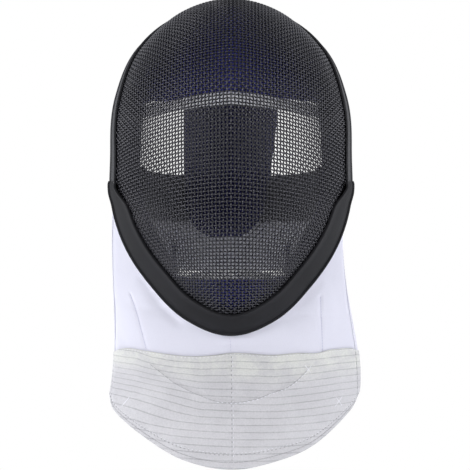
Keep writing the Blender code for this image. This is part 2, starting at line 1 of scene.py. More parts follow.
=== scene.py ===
"""Fencing mask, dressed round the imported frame.

Every measure of the mask is taken from its face datum: X across the face, Y going back, Z up, zero
between the ears. Tables hold millimetres and degrees. Finished meshes are in metres in the frame.
"""

import sys

import logging
import math
from collections.abc import Callable, Sequence
from dataclasses import dataclass
from enum import Enum
from typing import ClassVar

import bmesh
import bpy
import numpy as np
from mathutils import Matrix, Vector


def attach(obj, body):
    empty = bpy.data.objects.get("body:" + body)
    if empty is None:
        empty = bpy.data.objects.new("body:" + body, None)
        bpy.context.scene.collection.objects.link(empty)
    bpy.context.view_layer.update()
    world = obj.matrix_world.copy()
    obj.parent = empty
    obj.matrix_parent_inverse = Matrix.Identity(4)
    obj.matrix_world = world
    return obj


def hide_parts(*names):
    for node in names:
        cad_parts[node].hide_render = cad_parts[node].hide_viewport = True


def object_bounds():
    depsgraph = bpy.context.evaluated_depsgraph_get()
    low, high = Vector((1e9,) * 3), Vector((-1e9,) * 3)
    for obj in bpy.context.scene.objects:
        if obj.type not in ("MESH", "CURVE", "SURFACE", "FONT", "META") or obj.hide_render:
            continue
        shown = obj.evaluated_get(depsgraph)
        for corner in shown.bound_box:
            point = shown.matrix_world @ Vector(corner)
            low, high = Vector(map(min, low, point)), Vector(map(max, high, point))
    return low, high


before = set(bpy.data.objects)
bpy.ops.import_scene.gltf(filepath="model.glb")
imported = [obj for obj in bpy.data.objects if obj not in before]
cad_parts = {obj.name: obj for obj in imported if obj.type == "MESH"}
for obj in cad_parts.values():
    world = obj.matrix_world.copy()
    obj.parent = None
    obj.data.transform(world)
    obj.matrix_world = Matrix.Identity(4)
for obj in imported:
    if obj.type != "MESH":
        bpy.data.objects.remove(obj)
CAD_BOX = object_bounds()

log = logging.getLogger("fencing_mask")

Array = np.ndarray
Socket = bpy.types.NodeSocket
Piece = bpy.types.Object
Pieces = list[Piece]
Span = tuple[float, float]
Triple = tuple[float, float, float]
Plain = ClassVar[dict[str, object]]

MM = 0.001
NODE_GAP = 180
STRAND_SIDES = 6
FLIP = np.array((-1.0, 1.0, 1.0))
LEVEL = np.array((1.0, 1.0, 0.0))
HEAD_REST = np.array((0.0, 10.0, 185.0))


class Slot(Enum):
    """The record's material slots."""

    WIRE = "enamelled_wire"
    RUBBER = "charcoal_rubber"
    NAVY = "navy_padding"
    WHITE = "white_cloth"
    BLACK_ELASTIC = "black_elastic"
    GREY_ELASTIC = "grey_elastic"
    LAME = "grey_lame"


class Edge(Enum):
    """Which way a skin of points closes."""

    OPEN = "open"
    TUBE = "tube"


def to_frame(points: Array) -> Array:
    """Move points from the face datum to the frame.

    Args:
        points: Places in millimetres in the face datum.

    Returns:
        The same places in metres in the frame.
    """
    return (np.asarray(points, float) - HEAD_REST) * MM


def eased(share: Array) -> Array:
    """Give a share from 0 to 1 a smooth start and end."""
    held = np.clip(share, 0.0, 1.0)
    return held * held * (3 - 2 * held)


def angle_from_chin(angle: Array) -> Array:
    """Count the degrees of the front view between the chin and some angles."""
    return (angle + 90 + 180) % 360 - 180


def unit(vectors: Array) -> Array:
    """Scale vectors to length one."""
    return vectors / np.maximum(np.linalg.norm(vectors, axis=-1, keepdims=True), 1e-12)


def lengths(vectors: Array) -> Array:
    """Measure vectors."""
    return np.linalg.norm(vectors, axis=-1)


def run_of(path: Array) -> Array:
    """Measure how far along a path each of its points lies."""
    return np.concatenate(([0.0], np.cumsum(lengths(np.diff(path, axis=0)))))


def read_at(at: Array, run: Array, table: Array) -> Array:
    """Read every column of a table at places along its run."""
    return np.stack([np.interp(at, run, column) for column in table.T], -1)


def paired(across: Array, along: Array) -> Array:
    """Pair two measures of every point of a table, such as its places on a map."""
    return np.stack(np.broadcast_arrays(across, along), -1)


def halved(low: Array, high: Array, holds: Callable, times: int = 30) -> Array:
    """Find where a test stops holding, by halving.

    Args:
        low: Places where it holds.
        high: Places where it doesn't.
        holds: Tells of each place between whether the test holds there.
        times: How often to halve.

    Returns:
        The last places where it holds.
    """
    for _ in range(times):
        middle = (low + high) / 2
        short = holds(middle)
        low, high = np.where(short, middle, low), np.where(short, high, middle)
    return low


class SmoothTable:
    """A short table read smoothly between its rows by its first column."""

    def __init__(self, rows: Sequence[Sequence[float]]) -> None:
        """Keep the rows and the slope at each.

        Args:
            rows: Rows of numbers in rising order of the first.
        """
        grid = np.array(rows, float)
        self.keys, self.values = grid[:, 0], grid[:, 1:]
        last = len(grid) - 1
        after = np.minimum(np.arange(last + 1) + 1, last)
        before = np.maximum(np.arange(last + 1) - 1, 0)
        run = (self.keys[after] - self.keys[before])[:, None]
        self.slopes = (self.values[after] - self.values[before]) / run

    def read(self, key: Array) -> Array:
        """Read every column at some keys.

        Args:
            key: Values of the first column, held to the table's ends.

        Returns:
            The other columns, along one more axis.
        """
        key = np.clip(np.asarray(key, float), self.keys[0], self.keys[-1])
        at = np.clip(np.searchsorted(self.keys, key, side="right") - 1, 0, len(self.keys) - 2)
        span = (self.keys[at + 1] - self.keys[at])[..., None]
        t = (key - self.keys[at])[..., None] / span
        return (
            (2 * t**3 - 3 * t**2 + 1) * self.values[at]
            + (t**3 - 2 * t**2 + t) * self.slopes[at] * span
            + (3 * t**2 - 2 * t**3) * self.values[at + 1]
            + (t**3 - t**2) * self.slopes[at + 1] * span
        )


# angle, rim_out, rim_back, rim_turn, nose_pull, rim_pull
FACE_SECTIONS = (
    (-90, 108.4, 66, 52, 50.6, 53.1),
    (-70, 103.2, 71, 52, 52.5, 46.8),
    (-45, 95.8, 85, 54, 53.8, 40.3),
    (-20, 97.1, 96, 60, 54.9, 36.9),
    (5, 103.8, 100, 66, 55.3, 34.6),
    (25, 113.9, 102, 70, 58.6, 34.1),
    (45, 140.0, 110, 75, 72.1, 38.6),
    (60, 163.4, 131, 88, 96.6, 48.9),
    (75, 177.4, 161, 106, 131.8, 67.3),
    (90, 178.4, 174, 113, 154.0, 79.8),
)


class FaceShape:
    """The dome of the face: curved half-sections from its tip to its edge, at every angle."""

    tip = np.array((0.0, -100.0, 24.3))
    crease = math.radians(13)
    section_step = 0.004
    around_step = 0.5
    lowest = 0.05
    highest = 0.97

    def __init__(self) -> None:
        """Read the sections with one more row past the chin and past the crown."""
        first, last = FACE_SECTIONS[1], FACE_SECTIONS[-2]
        below = (-180 - first[0], *first[1:])
        above = (180 - last[0], *last[1:])
        self.table = SmoothTable((below, *FACE_SECTIONS, above))

    def row(self, angle: Array) -> Array:
        """Read the sections' columns at angles of the front view, 0 to the left ear and 90 up."""
        turned = (np.asarray(angle, float) + 90) % 360 - 90
        return self.table.read(np.where(turned > 90, 180 - turned, turned))

    def points(self, angle: Array, along: Array) -> Array:
        """Find points of the dome.

        Args:
            angle: Angles of the front view, in degrees.
            along: Places along each section, from the tip (0) to the edge (1).

        Returns:
            Points on the middle of the wall, in the face datum.
        """
        angle, along = np.broadcast_arrays(np.asarray(angle, float), np.asarray(along, float))
        row = self.row(angle)
        facing = np.radians(angle)
        start = self.crease * np.abs(np.cos(facing))
        turn = np.radians(row[..., 2])
        t, s = along, 1 - along
        lead = 3 * s * s * t * row[..., 3]
        tail = 3 * s * t * t
        out = lead * np.cos(start) + tail * (row[..., 0] - np.cos(turn) * row[..., 4])
        out = out + t**3 * row[..., 0]
        back = lead * np.sin(start) + tail * (row[..., 1] - np.sin(turn) * row[..., 4])
        back = back + t**3 * row[..., 1]
        return self.tip + np.stack((out * np.cos(facing), back, out * np.sin(facing)), -1)

    def disc(self, u: Array, v: Array) -> Array:
        """Find points of the dome by their place on a disc whose edge is the dome's edge."""
        return self.points(np.degrees(np.arctan2(v, u)), np.hypot(u, v))

    def directions(self, angle: Array, along: Array) -> tuple[Array, Array]:
        """Find the direction of the sections and the outward normal.

        Args:
            angle: Angles of the front view, in degrees.
            along: Places along each section.

        Returns:
            Unit vectors along the sections, and unit vectors out of the face.
        """
        section = self.points(angle, along) - self.points(angle, along - self.section_step)
        after, before = angle + self.around_step, angle - self.around_step
        around = self.points(after, along) - self.points(before, along)
        return unit(section), unit(np.cross(section, around))

    def along_at(self, angle: Array, inset: Array) -> Array:
        """Find the place on a section that lies a distance in from the edge."""
        return 1 - np.asarray(inset, float) / (3 * self.row(angle)[..., 4])

    def along_at_height(self, angle: Array, height: Array) -> Array:
        """Find where sections reach a height, by halving.

        Args:
            angle: Angles of the front view, in degrees.
            height: Heights in the face datum.

        Returns:
            Places along the sections.
        """
        low = np.full(np.shape(angle), self.lowest)
        high = np.full(np.shape(angle), self.highest)
        rises = self.points(angle, high)[..., 2] > self.points(angle, low)[..., 2]
        return halved(low, high, lambda at: (self.points(angle, at)[..., 2] < height) == rises)

    def station(self, angle: Array, inset: Array, lift: Array) -> Array:
        """Find points near the edge.

        Args:
            angle: Angles of the front view, in degrees.
            inset: Distances in from the edge; less than zero is past it.
            lift: Distances out of the wall's middle.

        Returns:
            Points in the face datum.
        """
        angle, inset, lift = np.broadcast_arrays(
            np.asarray(angle, float), np.asarray(inset, float), np.asarray(lift, float)
        )
        along = np.minimum(self.along_at(angle, inset), 1.0)
        section, normal = self.directions(angle, along)
        past = np.maximum(-inset, 0.0)
        return self.points(angle, along) + section * past[..., None] + normal * lift[..., None]

    def lifted(self, angle: Array, along: Array, lift: Array) -> Array:
        """Find points of the dome raised off the wall's middle."""
        normal = self.directions(angle, along)[1]
        return self.points(angle, along) + normal * np.asarray(lift, float)[..., None]


FACE = FaceShape()

PAD_LIFT = 6.2
PAD_THICKNESS = 12.5
PAD_EDGE_THICKNESS = 6.0
PAD_RIM_INSET = 3.0
PAD_RIM_COVER = 2.6
PAD_FRONT_SWELL = 0.3
PAD_SWELL = 0.8
# over the ears the pads' outer edge leads towards the wire
PAD_LEAD = 2.2
PAD_LEAD_ANGLE = 13
PAD_LEAD_EASE = 6
PAD_LEAD_SHARE = 0.35
# a pad's section from its outer edge to its inner one: places, and how full it is there
PAD_SHARES = np.array((0.0, 0.12, 0.5, 0.88, 1.0))
PAD_FULLNESS = np.array((0.0, 0.75, 1.0, 0.75, 0.0))
# angle, width
SIDE_PAD_WIDTHS = SmoothTable(
    ((-47.5, 19), (-30, 21), (-10, 22.5), (20, 21.5), (33, 25), (46.6, 30))
)
# angle, height of the forehead pad's lower edge
BROW_HEIGHTS = SmoothTable(
    ((47, 113.8), (51, 117.2), (55, 120.1), (62, 123.8), (73, 128.4), (90, 132))
)
# degrees away from the chin, width
CHIN_BINDING_WIDTHS = SmoothTable(
    ((0, 30.5), (20, 32), (62, 32), (80, 29.5), (92, 25.8), (100, 14))
)
CROWN_BINDING_WIDTHS = SmoothTable(((0, 10.7), (180, 10.7)))


class Bench:
    """Places shader nodes on a tree and wires them."""

    def __init__(self, tree: bpy.types.NodeTree) -> None:
        """Work on one tree."""
        self.tree = tree

    def feed(self, node: bpy.types.Node, inputs: dict) -> None:
        """Set or wire a node's inputs.

        Args:
            node: The node.
            inputs: What each input is: a plain value, or an output to wire to it. A colour may
                leave out its alpha.
        """
        for name, value in inputs.items():
            socket = node.inputs[name]
            if isinstance(value, Socket):
                self.tree.links.new(value, socket)
            elif isinstance(value, tuple):
                socket.default_value = (*value, 1.0)[: len(socket.default_value)]
            else:
                socket.default_value = value

    def add(self, kind: str, inputs: dict | None = None, **settings: object) -> bpy.types.Node:
        """Add a node.

        Args:
            kind: Blender's name of the node's type.
            inputs: Its inputs, as feed() takes them.
            settings: The node's own settings.

        Returns:
            The new node.
        """
        node = self.tree.nodes.new(kind)
        node.location.x = NODE_GAP * len(self.tree.nodes)
        for name, value in settings.items():
            setattr(node, name, value)
        self.feed(node, inputs or {})
        return node

    def math(self, operation: str, *values: object) -> Socket:
        """Work out a number from plain values or outputs."""
        return self.add("ShaderNodeMath", dict(enumerate(values)), operation=operation).outputs[0]

    def blend(self, share: object, first: object, second: object) -> Socket:
        """Mix two colours by a share."""
        inputs = {0: share, 6: first, 7: second}
        return self.add("ShaderNodeMix", inputs, data_type="RGBA").outputs[2]

    def ramp(self, value: object, low: float, high: float, start: float, end: float) -> object:
        """Map a number from one range to another, smoothly and held to its ends."""
        inputs = {"Value": value, "From Min": low, "From Max": high, "To Min": start, "To Max": end}
        return self.add("ShaderNodeMapRange", inputs, interpolation_type="SMOOTHSTEP").outputs[0]

    def noise(self, place: object, scale: object, detail: float, **more: object) -> object:
        """Add a noise texture and give its number."""
        inputs = {"Vector": place, "Scale": scale, "Detail": detail, **more}
        return self.add("ShaderNodeTexNoise", inputs).outputs[0]

    def lines(self, place: object, gap: float, core: float, edge: float) -> object:
        """Draw lines a gap apart, that fall from 1 on their core to 0 at their edge."""
        return self.ramp(self.math("PINGPONG", place, gap / 2), core, edge, 1.0, 0.0)

    def bump(self, height: object, depth: float) -> Socket:
        """Turn a height from 0 to 1 into a normal; the depth is in metres."""
        inputs = {"Height": height, "Distance": depth, "Strength": 1.0}
        return self.add("ShaderNodeBump", inputs).outputs[0]

    def effect(self, tree: bpy.types.NodeTree, **inputs: object) -> Socket:
        """Place a shared group with its own values, and give its output."""
        return self.add("ShaderNodeGroup", inputs, node_tree=tree).outputs[0]


def open_group(name: str, inputs: dict[str, float | None], output: str) -> tuple:
    """Start a shader node group.

    Args:
        name: The group's name.
        inputs: Its number inputs with their values, or None for a vector input.
        output: The name of its one output, a number.

    Returns:
        The group, a bench on it, and what its inputs give inside it.
    """
    tree = bpy.data.node_groups.new(name, "ShaderNodeTree")
    for socket, value in inputs.items():
        kind = "NodeSocketVector" if value is None else "NodeSocketFloat"
        made = tree.interface.new_socket(socket, in_out="INPUT", socket_type=kind)
        if value is not None:
            made.default_value = value
    tree.interface.new_socket(output, in_out="OUTPUT", socket_type="NodeSocketFloat")
    bench = Bench(tree)
    return tree, bench, bench.add("NodeGroupInput").outputs


class Effects:
    """The shader node groups that several finishes share."""

    def __init__(self) -> None:
        """Build each group once."""
        self.mottle = self._mottle()
        self.weave = self._weave()
        self.grain = self._grain()

    @staticmethod
    def _mottle() -> bpy.types.NodeTree:
        """Build slow and quick drifts of tone over a surface.

        Returns:
            The group.
        """
        inputs = {"Vector": None, "Broad": 18.0, "Fine": 240.0, "Share": 0.5}
        tree, bench, given = open_group("mottle", inputs, "Tone")
        place, share = given["Vector"], given["Share"]
        fine = bench.math("MULTIPLY", bench.noise(place, given["Fine"], 2.0), share)
        rest = bench.math("SUBTRACT", 1.0, share)
        broad = bench.math("MULTIPLY", bench.noise(place, given["Broad"], 3.0), rest)
        bench.add("NodeGroupOutput", {"Tone": bench.math("ADD", fine, broad)})
        return tree

    @staticmethod
    def _weave() -> bpy.types.NodeTree:
        """Build plain weave: threads that pass over and under each other.

        Returns:
            The group.
        """
        inputs = {"Vector": None, "Across": 900.0, "Down": 900.0, "Slub": 0.3}
        tree, bench, given = open_group("weave", inputs, "Height")
        drift = bench.math("MULTIPLY", bench.noise(given["Vector"], 300.0, 2.0), given["Slub"])
        split = bench.add("ShaderNodeSeparateXYZ", {"Vector": given["Vector"]}).outputs
        waves = []
        for axis, rate in (("X", "Across"), ("Y", "Down")):
            turns = bench.math("ADD", bench.math("MULTIPLY", split[axis], given[rate]), drift)
            waves.append(bench.math("SINE", bench.math("MULTIPLY", turns, 2 * math.pi)))
        height = bench.math("MULTIPLY_ADD", bench.math("MULTIPLY", *waves), 0.5, 0.5)
        bench.add("NodeGroupOutput", {"Height": height})
        return tree

    @staticmethod
    def _grain() -> bpy.types.NodeTree:
        """Build small pits and swellings, for enamel, rubber and brushed cloth.

        Returns:
            The group.
        """
        inputs = {"Vector": None, "Size": 900.0, "Rough": 0.6}
        tree, bench, given = open_group("grain", inputs, "Height")
        pits = bench.noise(given["Vector"], given["Size"], 4.0, Roughness=given["Rough"])
        bench.add("NodeGroupOutput", {"Height": pits})
        return tree


@dataclass(frozen=True)
class Finish:
    """What every finish has: its colours and gloss, and how its tone drifts over it.

    The plain values are inputs of the shader that are the same all over.
    """

    name: str
    slot: Slot
    colour: Triple
    drift: Triple
    roughness: float = 0.5
    shine: float = 0.5
    broad: float = 30.0
    fine: float = 900.0
    share: float = 0.5
    plain: Plain = {}

    def make(self, effects: Effects) -> bpy.types.Material:
        """Build the material.

        Args:
            effects: The shared node groups.

        Returns:
            The finished material.
        """
        material = bpy.data.materials.new(self.name)
        material.use_nodes = True
        material.diffuse_color = (*self.colour, 1.0)
        bench = Bench(material.node_tree)
        inputs = {"Roughness": self.roughness, "Specular IOR Level": self.shine, **self.plain}
        inputs.update(self.dress(bench, effects))
        bench.feed(material.node_tree.nodes["Principled BSDF"], inputs)
        return material

    def tone(self, bench: Bench, effects: Effects, place: object) -> Socket:
        """Wire the drifts of tone over the finish."""
        inputs = {"Vector": place, "Broad": self.broad, "Fine": self.fine, "Share": self.share}
        return bench.effect(effects.mottle, **inputs)

    def dress(self, bench: Bench, effects: Effects) -> dict:
        """Wire what changes over the surface; each finish adds its own."""
        raise NotImplementedError(self.name)


@dataclass(frozen=True)
class MottledSkin(Finish):
    """A finish read without a map: drifts of colour and gloss over fine pits."""

    spread: tuple[float, float, float, float] = (0.35, 0.7, 0.0, 1.0)
    gloss: Span = (0.0, 0.0)
    pits: float = 1500.0
    pit_roughness: float = 0.6
    depth: float = 0.00005

    def dress(self, bench: Bench, effects: Effects) -> dict:
        """Wire the drifts and the pits.

        Args:
            bench: Where the nodes go.
            effects: The shared node groups.

        Returns:
            The shader's inputs.
        """
        place = bench.add("ShaderNodeTexCoord").outputs["Object"]
        tone = self.tone(bench, effects, place)
        ends = [self.roughness + change for change in self.gloss]
        pits = bench.effect(effects.grain, Vector=place, Size=self.pits, Rough=self.pit_roughness)
        return {
            "Base Color": bench.blend(bench.ramp(tone, *self.spread), self.colour, self.drift),
            "Roughness": bench.ramp(tone, 0.3, 0.7, *ends),
            "Normal": bench.bump(pits, self.depth),
        }


@dataclass(frozen=True)
class WireEnamel(MottledSkin):
    """Satin enamel on steel wire, rubbed a little where hands and blades touch it."""

    roughness: float = 0.25
    broad: float = 25.0
    share: float = 0.45
    spread: tuple[float, float, float, float] = (0.38, 0.66, 0.0, 1.0)
    gloss: Span = (0.08, -0.08)
    pits: float = 2200.0
    depth: float = 0.00006
    plain: Plain = {
        "Coat Weight": 0.32,
        "Coat Roughness": 0.15,
        "Specular Tint": (0.88, 0.86, 1.0),
    }


@dataclass(frozen=True)
class RubberSkin(MottledSkin):
    """Matt moulded rubber with a faint bloom."""

    fine: float = 500.0
    share: float = 0.3
    gloss: Span = (0.0, 0.1)


@dataclass(frozen=True)
class BrushedCloth(MottledSkin):
    """Napped cloth over foam, whose fibres lie every way, darker where they part."""

    roughness: float = 0.85
    shine: float = 0.12
    fine: float = 1200.0
    share: float = 0.55
    spread: tuple[float, float, float, float] = (0.35, 0.65, 1.0, 0.0)
    pits: float = 1400.0
    pit_roughness: float = 0.75
    depth: float = 0.0003
    plain: Plain = {
        "Sheen Weight": 0.08,
        "Sheen Roughness": 0.4,
        "Sheen Tint": (0.3, 0.3, 0.8),
    }


@dataclass(frozen=True)
class WovenCloth(Finish):
    """Woven cloth: threads by the piece's own map in metres, with a soft sheen."""

    roughness: float = 0.8
    broad: float = 22.0
    fine: float = 700.0
    share: float = 0.4
    threads: float = 1100.0
    depth: float = 0.00012
    see_through: float = 0.0
    plain: Plain = {
        "Sheen Weight": 0.1,
        "Sheen Roughness": 0.5,
        "Subsurface Radius": (1.0, 1.0, 1.0),
        "Subsurface Scale": 0.004,
    }

    def dress(self, bench: Bench, effects: Effects) -> dict:
        """Wire the threads, the slubs and the drifts of tone.

        Args:
            bench: Where the nodes go.
            effects: The shared node groups.

        Returns:
            The shader's inputs.
        """
        coords = bench.add("ShaderNodeTexCoord").outputs
        tone = bench.ramp(self.tone(bench, effects, coords["Object"]), 0.3, 0.7, 0.0, 0.65)
        inputs = {"Vector": coords["UV"], "Across": self.threads, "Down": self.threads}
        threads = bench.effect(effects.weave, **inputs)
        share = bench.math("MULTIPLY_ADD", threads, 0.35, tone)
        return {
            "Base Color": bench.blend(share, self.drift, self.colour),
            "Subsurface Weight": self.see_through,
            "Normal": bench.bump(threads, self.depth),
        }


@dataclass(frozen=True)
class ElasticWeb(Finish):
    """Woven elastic: ribs along the strap, drawn by its own map in metres."""

    roughness: float = 0.75
    broad: float = 40.0
    rib: float = 0.0016
    pick: float = 0.0009
    depth: float = 0.00025

    def dress(self, bench: Bench, effects: Effects) -> dict:
        """Wire the ribs and the picks that cross them.

        Args:
            bench: Where the nodes go.
            effects: The shared node groups.

        Returns:
            The shader's inputs.
        """
        coords = bench.add("ShaderNodeTexCoord").outputs
        split = bench.add("ShaderNodeSeparateXYZ", {"Vector": coords["UV"]}).outputs
        waves = []
        for axis, gap in (("Y", self.rib), ("X", self.pick)):
            wave = bench.math("PINGPONG", split[axis], gap / 2)
            waves.append(bench.ramp(wave, 0.0, gap / 2, 0.0, 1.0))
        height = bench.math("MULTIPLY_ADD", waves[1], 0.4, bench.math("MULTIPLY", waves[0], 0.6))
        tone = bench.ramp(self.tone(bench, effects, coords["Object"]), 0.2, 0.6, 0.6, 1.0)
        share = bench.math("MULTIPLY", height, tone)
        return {
            "Base Color": bench.blend(share, self.drift, self.colour),
            "Normal": bench.bump(height, self.depth),
        }


@dataclass(frozen=True)
class LameCloth(Finish):
    """Conductive cloth: metal threads in a fine weave, with heavier lines every few millimetres.

    The cloth is cream above the two cream heights, which are in metres.
    """

    roughness: float = 0.65
    shine: float = 0.3
    line: Triple = (0.33, 0.33, 0.35)
    cream: Triple = (0.705, 0.712, 0.685)
    cream_from: float = -0.132
    cream_full: float = -0.112
    line_gap: float = 0.0060
    line_tones: Span = (0.36, 0.56)
    fleck_tones: Span = (-0.08, 0.16)
    grid_tones: Span = (0.12, 0.09)
    weave_rise: float = 0.25
    line_rise: float = 0.6
    threads: float = 1400.0
    depth: float = 0.00022
    plain: Plain = {"Metallic": 0.05}

    def dress(self, bench: Bench, effects: Effects) -> dict:
        """Wire the lines, the faint grid between them, and the cloth's uneven threads.

        Args:
            bench: Where the nodes go.
            effects: The shared node groups.

        Returns:
            The shader's inputs.
        """
        laid = bench.add("ShaderNodeTexCoord").outputs["UV"]
        side, up, _ = bench.add("ShaderNodeSeparateXYZ", {"Vector": laid}).outputs
        heavy = bench.lines(up, self.line_gap, 0.00012, 0.00060)
        faint = bench.lines(up, self.line_gap / 6, 0.0, 0.0004)
        upright = bench.lines(side, self.line_gap / 5, 0.0, 0.0004)
        slow = bench.effect(effects.mottle, Vector=laid, Broad=45.0, Fine=300.0, Share=0.3)
        quick = bench.effect(effects.mottle, Vector=laid, Broad=700.0, Fine=2300.0, Share=0.5)
        top = bench.ramp(up, self.cream_from, self.cream_full, 0.0, 1.0)
        base = bench.blend(top, self.colour, self.cream)
        base = bench.blend(bench.ramp(slow, 0.35, 0.65, 0.0, 0.8), base, self.drift)
        drawn = bench.math("MULTIPLY", heavy, bench.ramp(slow, 0.40, 0.60, *self.line_tones))
        across, down = self.grid_tones
        dark = bench.math("MULTIPLY_ADD", faint, across, bench.math("MULTIPLY", upright, down))
        dark = bench.math("ADD", dark, drawn)
        dark = bench.math("ADD", dark, bench.ramp(quick, 0.40, 0.62, *self.fleck_tones))
        weave = bench.effect(effects.weave, Vector=laid, Across=self.threads, Down=self.threads)
        height = bench.math("MULTIPLY_ADD", weave, self.weave_rise, 1 - self.weave_rise)
        height = bench.math("SUBTRACT", height, bench.math("MULTIPLY", heavy, self.line_rise))
        return {
            "Base Color": bench.blend(dark, base, self.line),
            "Roughness": bench.ramp(quick, 0.3, 0.7, self.roughness - 0.1, self.roughness + 0.1),
            "Normal": bench.bump(height, self.depth),
        }


class Look(Enum):
    """Every finish of the mask."""

    WIRE = WireEnamel("wire_enamel", Slot.WIRE, (0.006, 0.006, 0.008), (0.011, 0.011, 0.014))
    # one rubber in two copies: the chin edging's is painted darker and duller as painted shade, the
    # crown edging's is painted lighter and glossier as painted light
    RUBBER = RubberSkin(
        "edge_rubber_painted_shade", Slot.RUBBER, (0.016, 0.016, 0.018), (0.021, 0.021, 0.024), shine=0.06
    )
    PAINTED_LIT_RUBBER = RubberSkin(
        "painted_lit_rubber", Slot.RUBBER, (0.028, 0.028, 0.032), (0.038, 0.038, 0.043), shine=0.3
    )
    # one navy cloth in two copies: this darker one is painted shade, on the side pads, the tongue's
    # cushion and the tabs
    NAVY = BrushedCloth("navy_cloth", Slot.NAVY, (0.008, 0.008, 0.044), (0.004, 0.004, 0.024))
    # the lighter, bluer copy is painted light, on the forehead and chin pads
    PAINTED_LIT_NAVY = BrushedCloth(
        "painted_lit_navy_cloth", Slot.NAVY, (0.054, 0.056, 0.380), (0.031, 0.033, 0.215)
    )
    WHITE = WovenCloth("white_cloth", Slot.WHITE, (0.735, 0.735, 0.840), (0.695, 0.695, 0.800))
    LINING = WovenCloth(
        "lining_cloth", Slot.WHITE, (0.93, 0.93, 0.97), (0.88, 0.88, 0.94), see_through=1.0
    )
    THREAD = WovenCloth(
        "white_thread", Slot.WHITE, (0.90, 0.90, 0.96), (0.80, 0.80, 0.88), roughness=0.7
    )
    BLACK_WEB = ElasticWeb(
        "black_elastic", Slot.BLACK_ELASTIC, (0.022, 0.022, 0.025), (0.008, 0.008, 0.010)
    )
    GREY_WEB = ElasticWeb("grey_elastic", Slot.GREY_ELASTIC, (0.52, 0.52, 0.53), (0.36, 0.36, 0.37))
    LAME = LameCloth("lame_cloth", Slot.LAME, (0.620, 0.613, 0.642), (0.562, 0.556, 0.586))
    # grey for dark stitches, and for the almost unbroken lines that paint the shade in the apron's
    # creases
    GREY_THREAD_AND_CREASE_SHADE = WovenCloth(
        "grey_thread_and_crease_shade", Slot.LAME, (0.34, 0.34, 0.36), (0.25, 0.25, 0.27), roughness=0.6
    )
    # bluish grey that paints the shade along the bib's panel seams, on their stitches
    PAINTED_SEAM_SHADE = WovenCloth(
        "painted_seam_shade_thread", Slot.WHITE, (0.56, 0.56, 0.72), (0.50, 0.50, 0.66), roughness=0.7
    )


Dressed = tuple[bpy.types.Material, Slot]


class Palette:
    """Every finish of the mask, made once."""

    def __init__(self) -> None:
        """Make the shared effects and the materials."""
        effects = Effects()
        self.made = {look: (look.value.make(effects), look.value.slot) for look in Look}

    def __getitem__(self, look: Look) -> Dressed:
        """Give a finish's material and slot."""
        return self.made[look]


def skin(points: Array, edge: Edge = Edge.OPEN, chart: Array | None = None) -> bmesh.types.BMesh:
    """Lay a grid on a table of points, and close it where it should be.

    Args:
        points: Rows of places in the face datum, all of one length.
        edge: TUBE joins the ends of each row and caps the first and last row.
        chart: The piece's map, in metres, with a row of pairs for each row of points.

    Returns:
        The skin in the frame, with outward normals if it is closed.
    """
    placed = to_frame(points)
    if edge is Edge.TUBE:
        placed = np.concatenate((placed, placed[:, :1]), 1)
        if chart is not None:
            chart = np.concatenate((chart, chart[:, -1:] * 2 - chart[:, -2:-1]), 1)
    rows, columns = placed.shape[:2]
    shape = bmesh.new()
    layer = shape.loops.layers.uv.new("UVMap")
    bmesh.ops.create_grid(shape, x_segments=columns - 1, y_segments=rows - 1, size=0.5)
    flat = np.array([vertex.co[:2] for vertex in shape.verts])
    column = np.rint((flat[:, 0] + 0.5) * (columns - 1)).astype(int)
    row = np.rint((flat[:, 1] + 0.5) * (rows - 1)).astype(int)
    for vertex, at_row, at_column in zip(shape.verts, row, column):
        vertex.co = placed[at_row, at_column]
    if chart is not None:
        shape.verts.index_update()
        for face in shape.faces:
            for loop in face.loops:
                at = loop.vert.index
                loop[layer].uv = chart[row[at], column[at]]
    if edge is Edge.TUBE:
        bmesh.ops.remove_doubles(shape, verts=shape.verts, dist=1e-7)
        rims = [line for line in shape.edges if line.is_boundary]
        bmesh.ops.holes_fill(shape, edges=rims, sides=0)
        bmesh.ops.recalc_face_normals(shape, faces=shape.faces)
    return shape


def mesh_of(name: str, shape: bmesh.types.BMesh) -> bpy.types.Mesh:
    """Turn a shape into a mesh.

    Args:
        name: The mesh's name.
        shape: The shape, which is used up.

    Returns:
        The mesh.
    """
    mesh = bpy.data.meshes.new(name)
    shape.to_mesh(mesh)
    shape.free()
    return mesh


def piece_of(name: str, mesh: bpy.types.Mesh, dressed: Dressed, sharp: float = 180) -> Piece:
    """Make a piece of the mask of a finished mesh.

    Args:
        name: The piece's name.
        mesh: Its mesh.
        dressed: Its material and slot.
        sharp: Edges that turn more than this many degrees stay sharp.

    Returns:
        The piece, riding on the mask's only body.
    """
    mesh.shade_smooth()
    mesh.set_sharp_from_angle(angle=math.radians(sharp))
    material, slot = dressed
    mesh.materials.append(material)
    piece = bpy.data.objects.new(name, mesh)
    bpy.context.scene.collection.objects.link(piece)
    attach(piece, "root")
    log.info("%s: %d faces", name, len(mesh.polygons))
    return piece


def finished(name: str, shape: bmesh.types.BMesh, dressed: Dressed, sharp: float) -> Piece:
    """Make a piece of the mask of a finished shape."""
    return piece_of(name, mesh_of(name, shape), dressed, sharp)


def thicken(piece: Piece, wall: float) -> None:
    """Give an open piece a wall.

    Args:
        piece: The piece, which becomes the wall's middle.
        wall: The wall's thickness in millimetres.
    """
    modifier = piece.modifiers.new("wall", "SOLIDIFY")
    modifier.thickness = wall * MM
    modifier.offset = 0.0
    modifier.use_even_offset = True


@dataclass(frozen=True)
class Strand:
    """One wire or thread: its path and the surface's normals along it."""

    path: Array
    normals: Array


